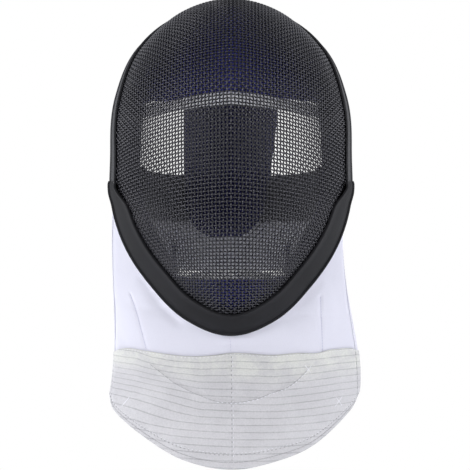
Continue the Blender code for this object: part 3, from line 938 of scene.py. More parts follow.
def round_strands(name: str, strands: Sequence[Strand], radius: float, dressed: Dressed) -> Piece:
    """Join many thin round strands in one piece with closed ends.

    Args:
        name: The piece's name.
        strands: The strands, in the face datum.
        radius: Their radius in millimetres.
        dressed: Their material and slot.

    Returns:
        The piece.
    """
    sides = STRAND_SIDES
    turn = np.arange(sides)[None, :, None] * 2 * math.pi / sides
    verts, quads, caps, first = [], [], [], 0
    for strand in strands:
        path = strand.path
        tangent = unit(np.gradient(path, axis=0))
        normal = strand.normals - (strand.normals * tangent).sum(-1, keepdims=True) * tangent
        normal = unit(normal)
        side = np.cross(tangent, normal)
        ring = np.cos(turn) * normal[:, None] + np.sin(turn) * side[:, None]
        verts.append((path[:, None] + ring * radius).reshape(-1, 3))
        count = len(path)
        start = first + np.arange(count - 1)[:, None] * sides
        here = np.arange(sides)[None]
        low, high = start + here, start + (here + 1) % sides
        quads.append(np.stack((low, high, high + sides, low + sides), -1).reshape(-1, 4))
        caps += [first + here[0, ::-1], first + (count - 1) * sides + here[0]]
        first += count * sides
    points = to_frame(np.concatenate(verts))
    corners = np.concatenate([np.concatenate(quads).ravel(), np.concatenate(caps)])
    sizes = np.repeat((4, sides), (sum(map(len, quads)), len(caps)))
    starts = np.concatenate([[0], np.cumsum(sizes)[:-1]])
    mesh = bpy.data.meshes.new(name)
    mesh.vertices.add(len(points))
    mesh.vertices.foreach_set("co", points.ravel())
    mesh.loops.add(len(corners))
    mesh.loops.foreach_set("vertex_index", corners.astype(np.int32))
    mesh.polygons.add(len(sizes))
    mesh.polygons.foreach_set("loop_start", starts.astype(np.int32))
    mesh.update(calc_edges=True)
    mesh.validate()
    return piece_of(name, mesh, dressed)


@dataclass
class WireNet:
    """The woven wire of the face, laid row by row over the dome."""

    pitch: float = 3.2
    wire: float = 1.37
    wave: float = 0.6
    row_tilt: float = 10.4
    row_follow: float = 0.265
    edge_hide: float = 1.2
    furthest: int = 62
    search: float = 0.2
    first_step: float = 0.02
    longest_step: float = 0.02
    off_tip: float = 0.02
    rounds: int = 9

    def centre_line(self) -> Array:
        """Step along the middle of the face from the chin to the crown, one pitch at a time.

        Returns:
            Places on the dome's disc, upwards.
        """
        ways = []
        for way in (-1.0, 1.0):
            places = [0.0]
            while abs(places[-1]) <= 1:
                place = places[-1]
                last = FACE.disc(0.0, place)

                def near(at: Array, last: Array = last) -> Array:
                    """Tell whether places lie less than a pitch on."""
                    return lengths(FACE.disc(0.0, at) - last) < self.pitch

                places.append(float(halved(place, place + way * self.search, near, 40)))
            ways.append(places[1:-1])
        return np.array(ways[0][::-1] + [0.0] + ways[1])

    def lay(self) -> tuple[Array, Array, Array]:
        """Lay half of every row, each on its own tilted plane, and mirror it.

        Returns:
            Nodes, normals and which nodes the face holds, from right ear to left ear.
        """
        v = self.centre_line()
        u = np.zeros_like(v)
        lean = FACE.disc(u, v + 1e-4) - FACE.disc(u, v - 1e-4)
        lean = np.degrees(np.arctan2(lean[:, 1], lean[:, 2]))
        tilt = np.radians(self.row_tilt + self.row_follow * lean)
        plane = np.stack((np.zeros_like(tilt), np.sin(tilt), np.cos(tilt)), -1)
        start = FACE.disc(u, v)
        us, vs, step = [u], [v], (np.full_like(u, self.first_step), np.zeros_like(u))
        last = start
        for _ in range(self.furthest):
            guess = (us[-1] + step[0], vs[-1] + step[1])
            u, v = self._solved(guess, last, start, plane)
            step = (u - us[-1], v - vs[-1])
            us.append(u)
            vs.append(v)
            last = FACE.disc(u, v)
        u, v = np.stack(us, 1), np.stack(vs, 1)
        angle, along = np.degrees(np.arctan2(v, u)), np.hypot(u, v)
        inside = along < FACE.along_at(angle, self.edge_hide)
        held = np.logical_and.accumulate(inside, axis=1)
        normals = FACE.directions(angle, np.maximum(along, self.off_tip))[1]
        normals[:, 0, 0] = 0.0
        halves = (FACE.points(angle, along), normals)
        nodes, normals = (np.concatenate((half[:, :0:-1] * FLIP, half), 1) for half in halves)
        return nodes, normals, np.concatenate((held[:, :0:-1], held), 1)

    def _solved(self, guess: tuple, last: Array, start: Array, plane: Array) -> tuple:
        """Find the next node of every row: one pitch on, and still on its row's plane.

        Args:
            guess: Where on the disc to look first.
            last: The nodes before.
            start: The first node of each row.
            plane: The normal of each row's plane.

        Returns:
            The nodes' places on the disc.
        """

        def miss(u: Array, v: Array) -> Array:
            """Measure how far places are off the pitch and off the plane."""
            at = FACE.disc(u, v)
            return np.stack((lengths(at - last) - self.pitch, ((at - start) * plane).sum(-1)), -1)

        u, v = guess
        tiny = 1e-5
        for _ in range(self.rounds):
            here = miss(u, v)
            by_u = (miss(u + tiny, v) - here) / tiny
            by_v = (miss(u, v + tiny) - here) / tiny
            det = by_u[:, 0] * by_v[:, 1] - by_u[:, 1] * by_v[:, 0]
            det = np.where(np.abs(det) < 1e-6, 1e-6, det)
            move_u = (here[:, 0] * by_v[:, 1] - here[:, 1] * by_v[:, 0]) / det
            move_v = (by_u[:, 0] * here[:, 1] - by_u[:, 1] * here[:, 0]) / det
            hold = np.maximum(1.0, np.hypot(move_u, move_v) / self.longest_step)
            u, v = u - move_u / hold, v - move_v / hold
        return u, v

    def woven(self, nodes: Array, normals: Array, over: Array) -> Strand:
        """Weave one wire over and under those that cross it.

        Args:
            nodes: The crossings along the wire.
            normals: The face's normals there.
            over: 1 where the wire lies outside, and -1 where it lies inside.

        Returns:
            The wire's strand, with two points for each crossing.
        """
        first, last = nodes[[0, -1]] * 1.25 - nodes[[1, -2]] * 0.25
        before = np.concatenate(([first], (nodes[1:] * 3 + nodes[:-1]) / 4))
        after = np.concatenate(((nodes[:-1] * 3 + nodes[1:]) / 4, [last]))
        path = np.stack((before, after), 1)
        path = path + (normals * over[:, None] * self.wave)[:, None]
        return Strand(path.reshape(-1, 3), np.repeat(normals, 2, axis=0))

    def build(self, palette: Palette) -> Pieces:
        """Lay the net and make its wires in four pieces.

        Args:
            palette: The finishes.

        Returns:
            The pieces.
        """
        nodes, normals, held = self.lay()
        rows, columns = held.shape
        sign = 1.0 - 2.0 * (np.add.outer(np.arange(rows), np.arange(columns)) % 2)
        across = [self._run(*wire) for wire in zip(nodes, normals, sign, held)]
        turned = (nodes.swapaxes(0, 1), normals.swapaxes(0, 1), -sign.T, held.T)
        down = [self._run(*wire) for wire in zip(*turned)]
        middle_row, middle_column = self._halves(across), self._halves(down)
        sets = {
            "wires_across_lower": across[:middle_row],
            "wires_across_upper": across[middle_row:],
            "wires_down_right": down[:middle_column],
            "wires_down_left": down[middle_column:],
        }
        pieces = []
        for name, wires in sets.items():
            strands = [strand for wire in wires for strand in wire]
            pieces.append(round_strands(name, strands, self.wire / 2, palette[Look.WIRE]))
        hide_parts("wire_basket")
        return pieces

    def _run(self, nodes: Array, normals: Array, over: Array, held: Array) -> list[Strand]:
        """Weave each unbroken stretch of one wire.

        Args:
            nodes: The crossings along the wire.
            normals: The face's normals there.
            over: 1 where the wire lies outside, and -1 where it lies inside.
            held: Which of the crossings the face holds.

        Returns:
            A strand for each stretch.
        """
        strands = []
        edges = np.flatnonzero(np.diff(np.concatenate(([0], held.astype(int), [0]))))
        for first, past in zip(edges[::2], edges[1::2]):
            if past - first >= 2:
                part = slice(first, past)
                strands.append(self.woven(nodes[part], normals[part], over[part]))
        return strands

    @staticmethod
    def _halves(wires: list[list[Strand]]) -> int:
        """Find where to part the wires in two sets of about the same length."""
        lengths = np.cumsum([sum(len(strand.path) for strand in wire) for wire in wires])
        return int(np.searchsorted(lengths, lengths[-1] / 2))


@dataclass
class EdgeBinding:
    """Rubber edging folded over the net's edge, between two angles of the front view."""

    name: str
    start: float
    end: float
    widths: "SmoothTable"
    finish: Look = Look.RUBBER
    lap: float = 0.0
    lap_start: float = 90.5
    lap_run: float = 8.0
    lap_end: float = 1.6
    wall: float = 1.5
    clearance: float = 0.45
    net: float = 2.1
    lip: float = 0.55
    bead: float = 0.9
    bead_point: int = 12
    step: float = 1.25

    def outline(self, width: Array) -> Array:
        """List the edging's outline once round, anticlockwise, for each of its widths.

        Args:
            width: The edging's width at each station.

        Returns:
            Pairs of inset and lift for each station.
        """
        inner = self.net / 2 + self.clearance
        outer = inner + self.wall
        back = -(self.clearance + self.wall)
        # the lip on the net, then the outer face
        pairs = [
            (width + 0.15, inner + 0.05),
            (width + 0.3, inner + 0.6),
            (width + 0.1, outer - 0.25 + self.lip),
            (width - 0.6, outer + self.lip),
            (width - 1.3, outer + self.lip * 0.8),
            (width - 2.2, outer),
        ]
        pairs += [(width * share, outer + 0.15) for share in (0.75, 0.6, 0.45)]
        # the groove, the bead along the edge, the turn round it and the inner face
        pairs += [
            (width * 0.1 + 2.6, outer - 0.1),
            (3.3, outer - 0.8),
            (2.6, outer + self.bead * 0.7),
            (1.7, outer + self.bead),
            (0.7, outer + self.bead * 0.5),
            (-0.4, outer - 0.45),
            (back * 0.75, outer - 1.3),
            (back - 0.05, outer - 2.2),
            (back - 0.05, -outer + 1.4),
            (back * 0.6, -outer + 0.5),
            (0.4, -outer),
        ]
        pairs += [(width * share, -outer) for share in (0.35, 0.7, 1.0)]
        pairs += [(width * share, -inner) for share in (1.0, 0.66, 0.33)]
        pairs += [(-self.clearance, -inner), (-self.clearance, inner)]
        pairs += [(width * share, inner) for share in (0.33, 0.66)]
        return np.stack([paired(inset + width * 0, lift) for inset, lift in pairs], -2)

    def build(self, palette: Palette) -> Pieces:
        """Sweep the outline along the edge.

        Args:
            palette: The finishes.

        Returns:
            The edging.
        """
        count = round((self.end - self.start) / self.step)
        angles = np.linspace(self.start, self.end, count + 1)
        away = np.abs(angle_from_chin(angles))
        pairs = self.outline(self.widths.read(away)[:, 0])
        inset, lift = pairs[..., 0], pairs[..., 1]
        raised_by = self.lap * eased((away - self.lap_start) / self.lap_run)
        closing = np.clip((away - (away.max() - self.lap_end)) / self.lap_end, 0.0, 1.0)
        raised_by = raised_by - min(self.lap, 0.9) * (1 - np.sqrt(1 - closing**2 * 0.98))
        lift = lift + np.sign(lift) * raised_by[:, None]
        inset = np.where(inset < -0.3, inset - raised_by[:, None] * 0.8, inset)
        points = FACE.station(angles[:, None], inset, lift)
        chart = paired(run_of(points[:, self.bead_point])[:, None], inset) * MM
        piece = finished(self.name, skin(points, Edge.TUBE, chart), palette[self.finish], sharp=60)
        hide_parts(self.name)
        return [piece]


ALL_AXES = {"use_axis_x": True, "use_axis_y": True, "use_axis_z": True}


@dataclass
class Pad:
    """Foam pad of the liner, in napped cloth, swollen by cloth simulation."""

    name: str
    rings: Array
    finish: Look = Look.NAVY
    square: float = 4.0
    end_rings: Span = (1.2, 2.0)
    softened: float = 0.35
    swell: float = 1.6
    pressure: float = 4.0
    fill: float = 0.75
    frames: int = 20
    quality: int = 6
    stiffness: float = 12.0
    bending: float = 0.6

    def build(self, palette: Palette) -> Pieces:
        """Make the pad and let it swell.

        Args:
            palette: The finishes.

        Returns:
            The pad.
        """
        mesh = mesh_of(self.name, self._shape())
        mesh = self._swollen(mesh)
        mesh.materials.clear()
        piece = piece_of(self.name, mesh, palette[self.finish])
        smooth = piece.modifiers.new("smooth", "SUBSURF")
        smooth.levels = smooth.render_levels = 1
        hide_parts(self.name)
        return [piece]

    def _shape(self) -> bmesh.types.BMesh:
        """Lay the pad's skin in small even squares and round its edges over.

        Returns:
            The skin.
        """
        ring = np.concatenate((self.rings, self.rings[:, :1]), 1)
        around = []
        for i, length in enumerate(lengths(np.diff(ring, axis=1)).mean(0)):
            count = max(1, round(length / self.square))
            way = ring[:, i + 1] - ring[:, i]
            around += [ring[:, i] + way * part / count for part in range(count)]
        grid = np.stack(around, 1)
        run = run_of(grid.mean(1))
        at = np.linspace(0, run[-1], max(4, round(run[-1] / self.square)) + 1)
        low = np.clip(np.searchsorted(run, at, side="right") - 1, 0, len(run) - 2)
        share = ((at - run[low]) / (run[low + 1] - run[low]))[:, None, None]
        shape = skin(grid[low] * (1 - share) + grid[low + 1] * share, Edge.TUBE)
        ends = [face for face in shape.faces if len(face.verts) > 4]
        for drawn in self.end_rings:
            bmesh.ops.inset_region(shape, faces=ends, thickness=drawn * MM, depth=0.0)
        for _ in range(2):
            bmesh.ops.smooth_vert(shape, verts=shape.verts, factor=self.softened, **ALL_AXES)
        return shape

    def _swollen(self, mesh: bpy.types.Mesh) -> bpy.types.Mesh:
        """Blow the skin up as cloth, and hold every point near its start.

        Args:
            mesh: The skin's mesh.

        Returns:
            The mesh of the swollen skin.
        """
        rest = np.empty(len(mesh.vertices) * 3)
        mesh.vertices.foreach_get("co", rest)
        helper = bpy.data.objects.new(self.name + "_cloth", mesh)
        bpy.context.scene.collection.objects.link(helper)
        cloth = helper.modifiers.new("cloth", "CLOTH")
        cloth.settings.use_pressure = True
        cloth.settings.uniform_pressure_force = self.pressure
        cloth.settings.effector_weights.gravity = 0.0
        cloth.settings.quality = self.quality
        cloth.settings.tension_stiffness = self.stiffness
        cloth.settings.compression_stiffness = self.stiffness
        cloth.settings.bending_stiffness = self.bending
        cloth.point_cache.frame_start = 1
        cloth.point_cache.frame_end = self.frames
        scene = bpy.context.scene
        for moment in range(1, self.frames + 1):
            scene.frame_set(moment)
        view = bpy.context.evaluated_depsgraph_get()
        swollen = bpy.data.meshes.new_from_object(helper.evaluated_get(view))
        bpy.data.objects.remove(helper, do_unlink=True)
        scene.frame_set(1)
        moved = np.empty_like(rest)
        swollen.vertices.foreach_get("co", moved)
        rest, moved = rest.reshape(-1, 3), moved.reshape(-1, 3)
        shift = moved - rest
        far = np.linalg.norm(shift, axis=1, keepdims=True)
        limit = self.swell * MM
        shift *= np.where(far > limit, limit / np.maximum(far, 1e-9), 1.0)
        swollen.vertices.foreach_set("co", (rest + shift).ravel())
        swollen.update()
        return swollen


def pad_rings(angle: Array, outer: Array, inner: Array, lead: Callable) -> Array:
    """Work out the outlines of a pad of the liner.

    Args:
        angle: The angles of the outlines.
        outer: Places on the sections where the pad starts, near the edge.
        inner: Places where it ends.
        lead: Gives the distance in from the wire for each angle and share of the width.

    Returns:
        A row of points for each angle.
    """
    share, full = PAD_SHARES, PAD_FULLNESS
    along = outer[:, None] + (inner - outer)[:, None] * share
    above = eased((90 - np.abs(angle[:, None] - 90) - PAD_LEAD_ANGLE) / PAD_LEAD_EASE)
    lift = lead(angle[:, None], share[None]) - PAD_FRONT_SWELL
    thick = PAD_EDGE_THICKNESS + (PAD_THICKNESS - PAD_EDGE_THICKNESS) * full + PAD_SWELL
    angles = np.broadcast_to(angle[:, None], along.shape)
    led = PAD_LEAD * above * (1 - eased(share / PAD_LEAD_SHARE))
    front = FACE.lifted(angles, along, led - lift)
    rear = FACE.lifted(angles, along, -lift - thick)
    return np.concatenate((front, rear[:, ::-1]), 1)


@dataclass
class Liner:
    """The pads inside the face: forehead, both cheeks and chin."""

    brow_lift: float = 22.0
    brow_angle: float = 47.0
    brow_ease: float = 5.0
    crown_inset: float = 30.0
    crown_half_angle: float = 15.0
    crown_ease: float = 20.0
    chin_top: float = -42.0
    chin_angle: float = -48.0
    brow_stations: int = 61
    cheek_stations: int = 49
    chin_stations: int = 37
    brow_round: float = 0.7
    brow_flat: float = 0.25
    brow_span: Span = (53, 127)
    chin_span: Span = (-57, -123)
    edge_stations: int = 19
    edge_gap: float = 0.8
    edge_hang: Triple = (0.0, 0.12, -1.0)
    edge_end: Triple = (14.5, 9.0, -2.0)

    @staticmethod
    def level(angle: Array, share: Array) -> Array:
        """Keep a pad at one distance from the wire."""
        return np.full(np.broadcast(angle, share).shape, PAD_LIFT)

    def brow(self, angle: Array, share: Array) -> Array:
        """Lead the forehead pad away from the wire towards its lower edge.

        Args:
            angle: Angles of the front view, in degrees.
            share: Places from the pad's start (0) to its lower edge (1).

        Returns:
            Distances in from the wire.
        """
        part = np.clip((angle - self.brow_angle) / (180 - 2 * self.brow_angle), 0.0, 1.0)
        arch = np.maximum(np.sin(np.pi * part), 0.0) ** self.brow_round
        reach = (self.brow_lift - PAD_LIFT) * arch
        return PAD_LIFT + reach * eased((share - self.brow_flat) / (1 - self.brow_flat))

    def _brow_along(self, angle: Array) -> Array:
        """Find the forehead pad's lower edge.

        Args:
            angle: Angles of the front view, in degrees.

        Returns:
            Its places along the sections.
        """
        away = np.abs(angle - 90)
        side = FACE.along_at(angle, PAD_RIM_INSET + SIDE_PAD_WIDTHS.values[-1, 0])
        brow = FACE.along_at_height(angle, BROW_HEIGHTS.read(90 - away)[:, 0])
        return side + (brow - side) * eased((90 - away - self.brow_angle) / self.brow_ease)

    def pads(self) -> list[Pad]:
        """Lay out the four pads.

        Returns:
            The pads.
        """
        brow = np.linspace(self.brow_angle, 180 - self.brow_angle, self.brow_stations)
        ease = eased((np.abs(brow - 90) - self.crown_half_angle) / self.crown_ease)
        outer = FACE.along_at(brow, self.crown_inset + (PAD_RIM_COVER - self.crown_inset) * ease)
        rings = pad_rings(brow, outer, self._brow_along(brow), self.brow)
        # the forehead pad, like the chin pad below, takes the navy painted lighter and bluer as
        # painted light
        made = [Pad("forehead_pad", rings, Look.PAINTED_LIT_NAVY)]
        cheek = np.linspace(*SIDE_PAD_WIDTHS.keys[[0, -1]], self.cheek_stations)
        widths = PAD_RIM_INSET + SIDE_PAD_WIDTHS.read(cheek)[:, 0]
        for name, angle in (("side_pad_left", cheek), ("side_pad_right", 180 - cheek)):
            outer, inner = FACE.along_at(angle, PAD_RIM_COVER), FACE.along_at(angle, widths)
            made.append(Pad(name, pad_rings(angle, outer, inner, self.level)))
        chin = np.linspace(self.chin_angle, -180 - self.chin_angle, self.chin_stations)
        inner = FACE.along_at_height(chin, self.chin_top)
        rings = pad_rings(chin, FACE.along_at(chin, PAD_RIM_COVER), inner, self.level)
        return [*made, Pad("chin_pad", rings, Look.PAINTED_LIT_NAVY)]

    def build(self, palette: Palette) -> Pieces:
        """Make the four pads.

        Args:
            palette: The finishes.

        Returns:
            The pads.
        """
        pieces = [piece for pad in self.pads() for piece in pad.build(palette)]
        return pieces + [edge.build(palette) for edge in self.lining_edges()]

    def lining_edges(self) -> list["LiningEdge"]:
        """Lay out the white edges of the lining under the forehead pad and over the chin pad.

        Returns:
            The two strips.
        """
        angle = np.linspace(*self.brow_span, self.edge_stations)
        inner = self._brow_along(angle)
        lift = self.brow(angle, np.ones_like(angle)) + PAD_EDGE_THICKNESS / 2
        hang = unit(np.array(self.edge_hang))
        roots = FACE.lifted(angle, inner, -lift) + hang * self.edge_gap
        end = np.array(self.edge_end)
        roots = np.concatenate(([roots[0] + end], roots, [roots[-1] + end * FLIP]))
        ways = np.broadcast_to(hang, roots.shape)
        brow = LiningEdge("forehead_trim", roots, ways, "forehead_pad", "hung")
        angle = np.linspace(*self.chin_span, self.edge_stations)
        top = FACE.along_at_height(angle, self.chin_top)
        lift = np.full_like(angle, PAD_LIFT + PAD_EDGE_THICKNESS / 2)
        roots = FACE.lifted(angle, top, -lift)
        rise = unit(FACE.lifted(angle, top - 0.02, -lift) - roots)
        roots = roots + rise * self.edge_gap
        return [brow, LiningEdge("chin_trim", roots, rise, "chin_pad", "stretched")]


# back, up, half_width, shift, bow
TONGUE_ROWS = np.array(
    (
        (91.5, 184.5, 30.5, 0, 2.5),
        (103, 170, 31.5, 0, 1),
        (111.5, 150, 33, 0, 0),
        (116, 126, 34, 0, 0),
        (117, 90, 33, -2, 0),
        (116.5, 54, 31, -4, 0),
        (115, 24, 28, -6, 0),
        (114, 6, 23, -6.5, 0),
    ),
    float,
)
# up, half_width, shift, thickness
TONGUE_PAD_ROWS = np.array(
    (
        (131, 45, -0.5, 5),
        (128, 46, -0.5, 9.5),
        (121, 46, -0.5, 12.5),
        (90, 45, -2, 14),
        (43, 41, -5, 14),
        (20, 37, -6, 12.5),
        (6, 29, -6.5, 9),
        (-2.5, 17, -6.5, 4),
    ),
    float,
)


def finer(rows: Array, pieces: int) -> Array:
    """Add rows on a smooth curve through the given ones.

    Args:
        rows: A row for each station.
        pieces: How many steps to make of each.

    Returns:
        The finer rows, with the given ones among them.
    """
    table = SmoothTable(np.column_stack((np.arange(len(rows)), rows.reshape(len(rows), -1))))
    keys = np.linspace(0, len(rows) - 1, (len(rows) - 1) * pieces + 1)
    return table.read(keys).reshape((len(keys), *rows.shape[1:]))


@dataclass
class Tongue:
    """Spring leaf in a cloth sleeve from the crown down the back, with its cushion."""

    thickness: float = 4.0
    tuck: float = 26.0
    tuck_angle: float = 9.7
    girth: float = 140.0
    length: float = 210.0
    seam_share: float = 0.86
    rim_pinch: float = 0.42
    side_pinch: float = 0.12
    cushion_gap: float = 0.3
    top: float = -(1.05 + 0.45 + 1.5 + 0.8)
    shares: tuple[float, ...] = (-1.0, -0.97, -0.75, -0.5, -0.25, 0.0, 0.25, 0.5, 0.75, 0.97, 1.0)

    def faces(self) -> tuple[Array, Array]:
        """Work out the outer and the inner side of the sleeve.

        Returns:
            Two tables of points, from under the crown to the lower end.
        """
        share = np.array(self.shares)
        angle = 90 - self.tuck_angle * share
        upper, lower = [], []
        for inset in self.tuck * np.array((1.0, 0.5, 0.0, -0.2)):
            upper.append(FACE.station(angle, inset, self.top))
            lower.append(FACE.station(angle, inset, self.top - self.thickness))
        run = np.gradient(TONGUE_ROWS[:, :2], axis=0)
        run[1:-1] = TONGUE_ROWS[2:, :2] - TONGUE_ROWS[:-2, :2]
        through = unit(np.stack((-run[:, 1], run[:, 0]), -1))
        for row, way in zip(TONGUE_ROWS, through):
            back, up, half_width, shift, bow = row
            for side, half in ((upper, self.thickness / 2), (lower, -self.thickness / 2)):
                reach = half - bow * share**2
                across = shift + half_width * share
                side.append(np.stack((across, back + way[0] * reach, up + way[1] * reach), -1))
        return finer(np.array(upper), 4), finer(np.array(lower), 4)

    def build(self, palette: Palette) -> Pieces:
        """Make the sleeve, its seams and the cushion.

        Args:
            palette: The finishes.

        Returns:
            The pieces.
        """
        outer, inner = self.faces()
        width = np.abs(np.array(self.shares))
        pinch = self.rim_pinch * (width > 0.99) + self.side_pinch * (width > 0.9)
        pinch = pinch[None, :, None]
        middle = (outer + inner) / 2
        outer, inner = outer + (middle - outer) * pinch, inner + (middle - inner) * pinch
        ring = np.concatenate((outer, inner[:, ::-1]), 1)
        around = np.linspace(0, self.girth, ring.shape[1])
        chart = paired(around[None], np.linspace(0, self.length, len(ring))[:, None]) * MM
        sleeve = finished("tongue", skin(ring, Edge.TUBE, chart), palette[Look.WHITE], sharp=70)
        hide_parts("tongue")
        seams = []
        for share in (-self.seam_share, self.seam_share):
            for side in (outer, inner):
                line, centre = (
                    np.stack([read_at(share, self.shares, row) for row in face])
                    for face in (side, middle)
                )
                seams.append(Strand(line, unit(line - centre)))
        stitches = Stitches("tongue_stitching", seams, length=2.6, gap=1.3, radius=0.32)
        return [sleeve, stitches.build(palette[Look.THREAD]), *self._cushion(palette)]

    def _cushion(self, palette: Palette) -> Pieces:
        """Make the cushion on the sleeve's inner side.

        Args:
            palette: The finishes.

        Returns:
            The cushion.
        """
        rows = finer(TONGUE_PAD_ROWS, 3)
        heights, backs = TONGUE_ROWS[::-1, 1], TONGUE_ROWS[::-1, 0]
        rings = []
        for up, half_width, shift, thick in rows:
            rear = np.interp(up, heights, backs) - self.thickness / 2 - self.cushion_gap
            across = np.array((-1, -0.85, -0.45, 0.45, 0.85, 1))
            full = np.array((0.3, 0.8, 1, 1, 0.8, 0.3))
            crown = np.stack((shift + half_width * across, rear - thick * full, np.full(6, up)), -1)
            bed = np.array(((shift + half_width, rear, up), (shift - half_width, rear, up)))
            rings.append(np.concatenate((crown, bed)))
        return Pad("tongue_pad", np.array(rings), fill=0.8).build(palette)


@dataclass
class Stitches:
    """A run of short stitches that lie on cloth, joined in one mesh."""

    name: str
    lines: Sequence[Strand]
    length: float = 2.2
    gap: float = 1.2
    radius: float = 0.28

    def build(self, dressed: Dressed) -> Piece:
        """Lay a stitch at every step of each line.

        Args:
            dressed: The thread's material and slot.

        Returns:
            The stitches.
        """
        strands = [stitch for line in self.lines for stitch in self._along(line)]
        return round_strands(self.name, strands, self.radius, dressed)

    def _along(self, line: Strand) -> list[Strand]:
        """Cut one line into stitches, whose ends dip into the cloth.

        Args:
            line: The line.

        Returns:
            Its stitches.
        """
        run = run_of(line.path)
        made = []
        dip = np.array((-0.8, 0.35, 0.75, 0.35, -0.8)) * self.radius
        for start in np.arange(0.4, run[-1] - self.length, self.length + self.gap):
            at = start + self.length * np.array((0.0, 0.15, 0.5, 0.85, 1.0))
            normal = unit(read_at(at, run, line.normals))
            made.append(Strand(read_at(at, run, line.path) + normal * dip[:, None], normal))
        return made


@dataclass
class LiningEdge:
    """Doubled white edge of the lining that shows past a pad, with its fold and its stitches."""

    name: str
    roots: Array
    ways: Array
    rests_on: str
    held: str
    wall: float = 1.3
    reach: float = 10.1
    pucker: float = 0.14
    pucker_gap: float = 4.6

    def build(self, palette: Palette) -> Piece:
        """Make the strip with its stitches.

        Args:
            palette: The finishes.

        Returns:
            The strip.
        """
        line, ways = finer(self.roots, 6), unit(finer(np.array(self.ways), 6))
        share = np.linspace(0.0, 1.0, 11)
        points = line[:, None] + ways[:, None] * (self.reach * share)[None, :, None]
        front = unit(np.cross(np.gradient(line, axis=0), ways))
        front = front * np.where(front[:, 1:2] > 0, -1.0, 1.0)
        run = run_of(line)
        wave = np.sin(run * 2 * math.pi / self.pucker_gap)[:, None] * np.sin(np.pi * share)
        wave = wave * self.pucker
        points = points + front[:, None] * wave[..., None]
        chart = paired(run[:, None], (share * self.reach)[None]) * MM
        strip = finished(self.name, skin(points, Edge.OPEN, chart), palette[Look.LINING], sharp=80)
        thicken(strip, self.wall)
        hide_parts(self.name)
        Bib.area(points)
        for at in (2, 8):
            seam = Strand(points[:, at] + front * self.wall / 2, front)
            name = f"{self.name}_stitching_{at}"
            stitches = Stitches(name, [seam], length=2.0, gap=1.1, radius=0.22)
            stitches.build(palette[Look.THREAD])
        return strip


@dataclass
class Strap:
    """Flat elastic strap from ear to ear round the back."""

    name: str
    rows: tuple[tuple[float, float, float, float], ...]
    top_angle: float
    bottom_angle: float
    finish: Look
    thickness: float = 1.6
    insets: tuple[float, ...] = (20.0, 12.0, 4.0)
    across: int = 8
    width: float = 45.0
    hem: float = 0.02

    def route(self) -> tuple[Array, Array]:
        """Work out the strap's upper and lower edge.

        Returns:
            Two tables of points, from the right ear round to the left.
        """
        lift = -(PAD_LIFT + PAD_THICKNESS + 0.3 + self.thickness / 2)
        half = [
            (FACE.station(self.top_angle, i, lift), FACE.station(self.bottom_angle, i, lift))
            for i in self.insets
        ]
        half += [(np.array((x, y, top)), np.array((x, y, low))) for x, y, top, low in self.rows]
        whole = [(top * FLIP, low * FLIP) for top, low in half[:-1]] + half[::-1]
        fine = finer(np.array(whole, float), 6)
        return fine[:, 0], fine[:, 1]

    def build(self, palette: Palette) -> Pieces:
        """Make the strap as a thin band with soft edges.

        Args:
            palette: The finishes.

        Returns:
            The strap.
        """
        top, low = self.route()
        run = np.gradient(top + low, axis=0)
        through = unit(np.cross(run, top - low))
        share = np.linspace(0, 1, self.across + 1)
        share[1], share[-2] = self.hem, 1 - self.hem
        flat = np.clip(np.minimum(share, 1 - share) / self.hem, 0.35, 1) * self.thickness / 2
        body = top[:, None] + (low - top)[:, None] * share[None, :, None]
        outer = body + through[:, None] * flat[None, :, None]
        inner = body - through[:, None] * flat[None, :, None]
        ring = np.concatenate((outer, inner[:, ::-1]), 1)
        wide = np.concatenate((share, 1 + share)) * self.width
        chart = paired(run_of(top)[:, None], wide[None]) * MM
        piece = finished(self.name, skin(ring, Edge.TUBE, chart), palette[self.finish], sharp=70)
        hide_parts(self.name)
        return [piece]


BACK_STRAP = Strap(
    "back_strap",
    (
        (86.5, 24, 63.5, 18.5),
        (83, 60, 61, 16),
        (69, 95, 58.5, 13.5),
        (44, 117.5, 57.5, 12.7),
        (20, 123.5, 57, 12.4),
        (0, 124.5, 57, 12.4),
    ),
    20.5,
    -2,
    Look.BLACK_WEB,
)
LOWER_STRAP = Strap(
    "lower_strap",
    (
        (86, 24, 14.5, -27),
        (86.5, 60, 17.5, -26),
        (72.5, 97, 17.5, -28),
        (46.5, 120.3, 17, -33),
        (21, 127, 16.5, -36.5),
        (0, 128, 16.5, -37),
    ),
    -6,
    -33,
    Look.GREY_WEB,
)


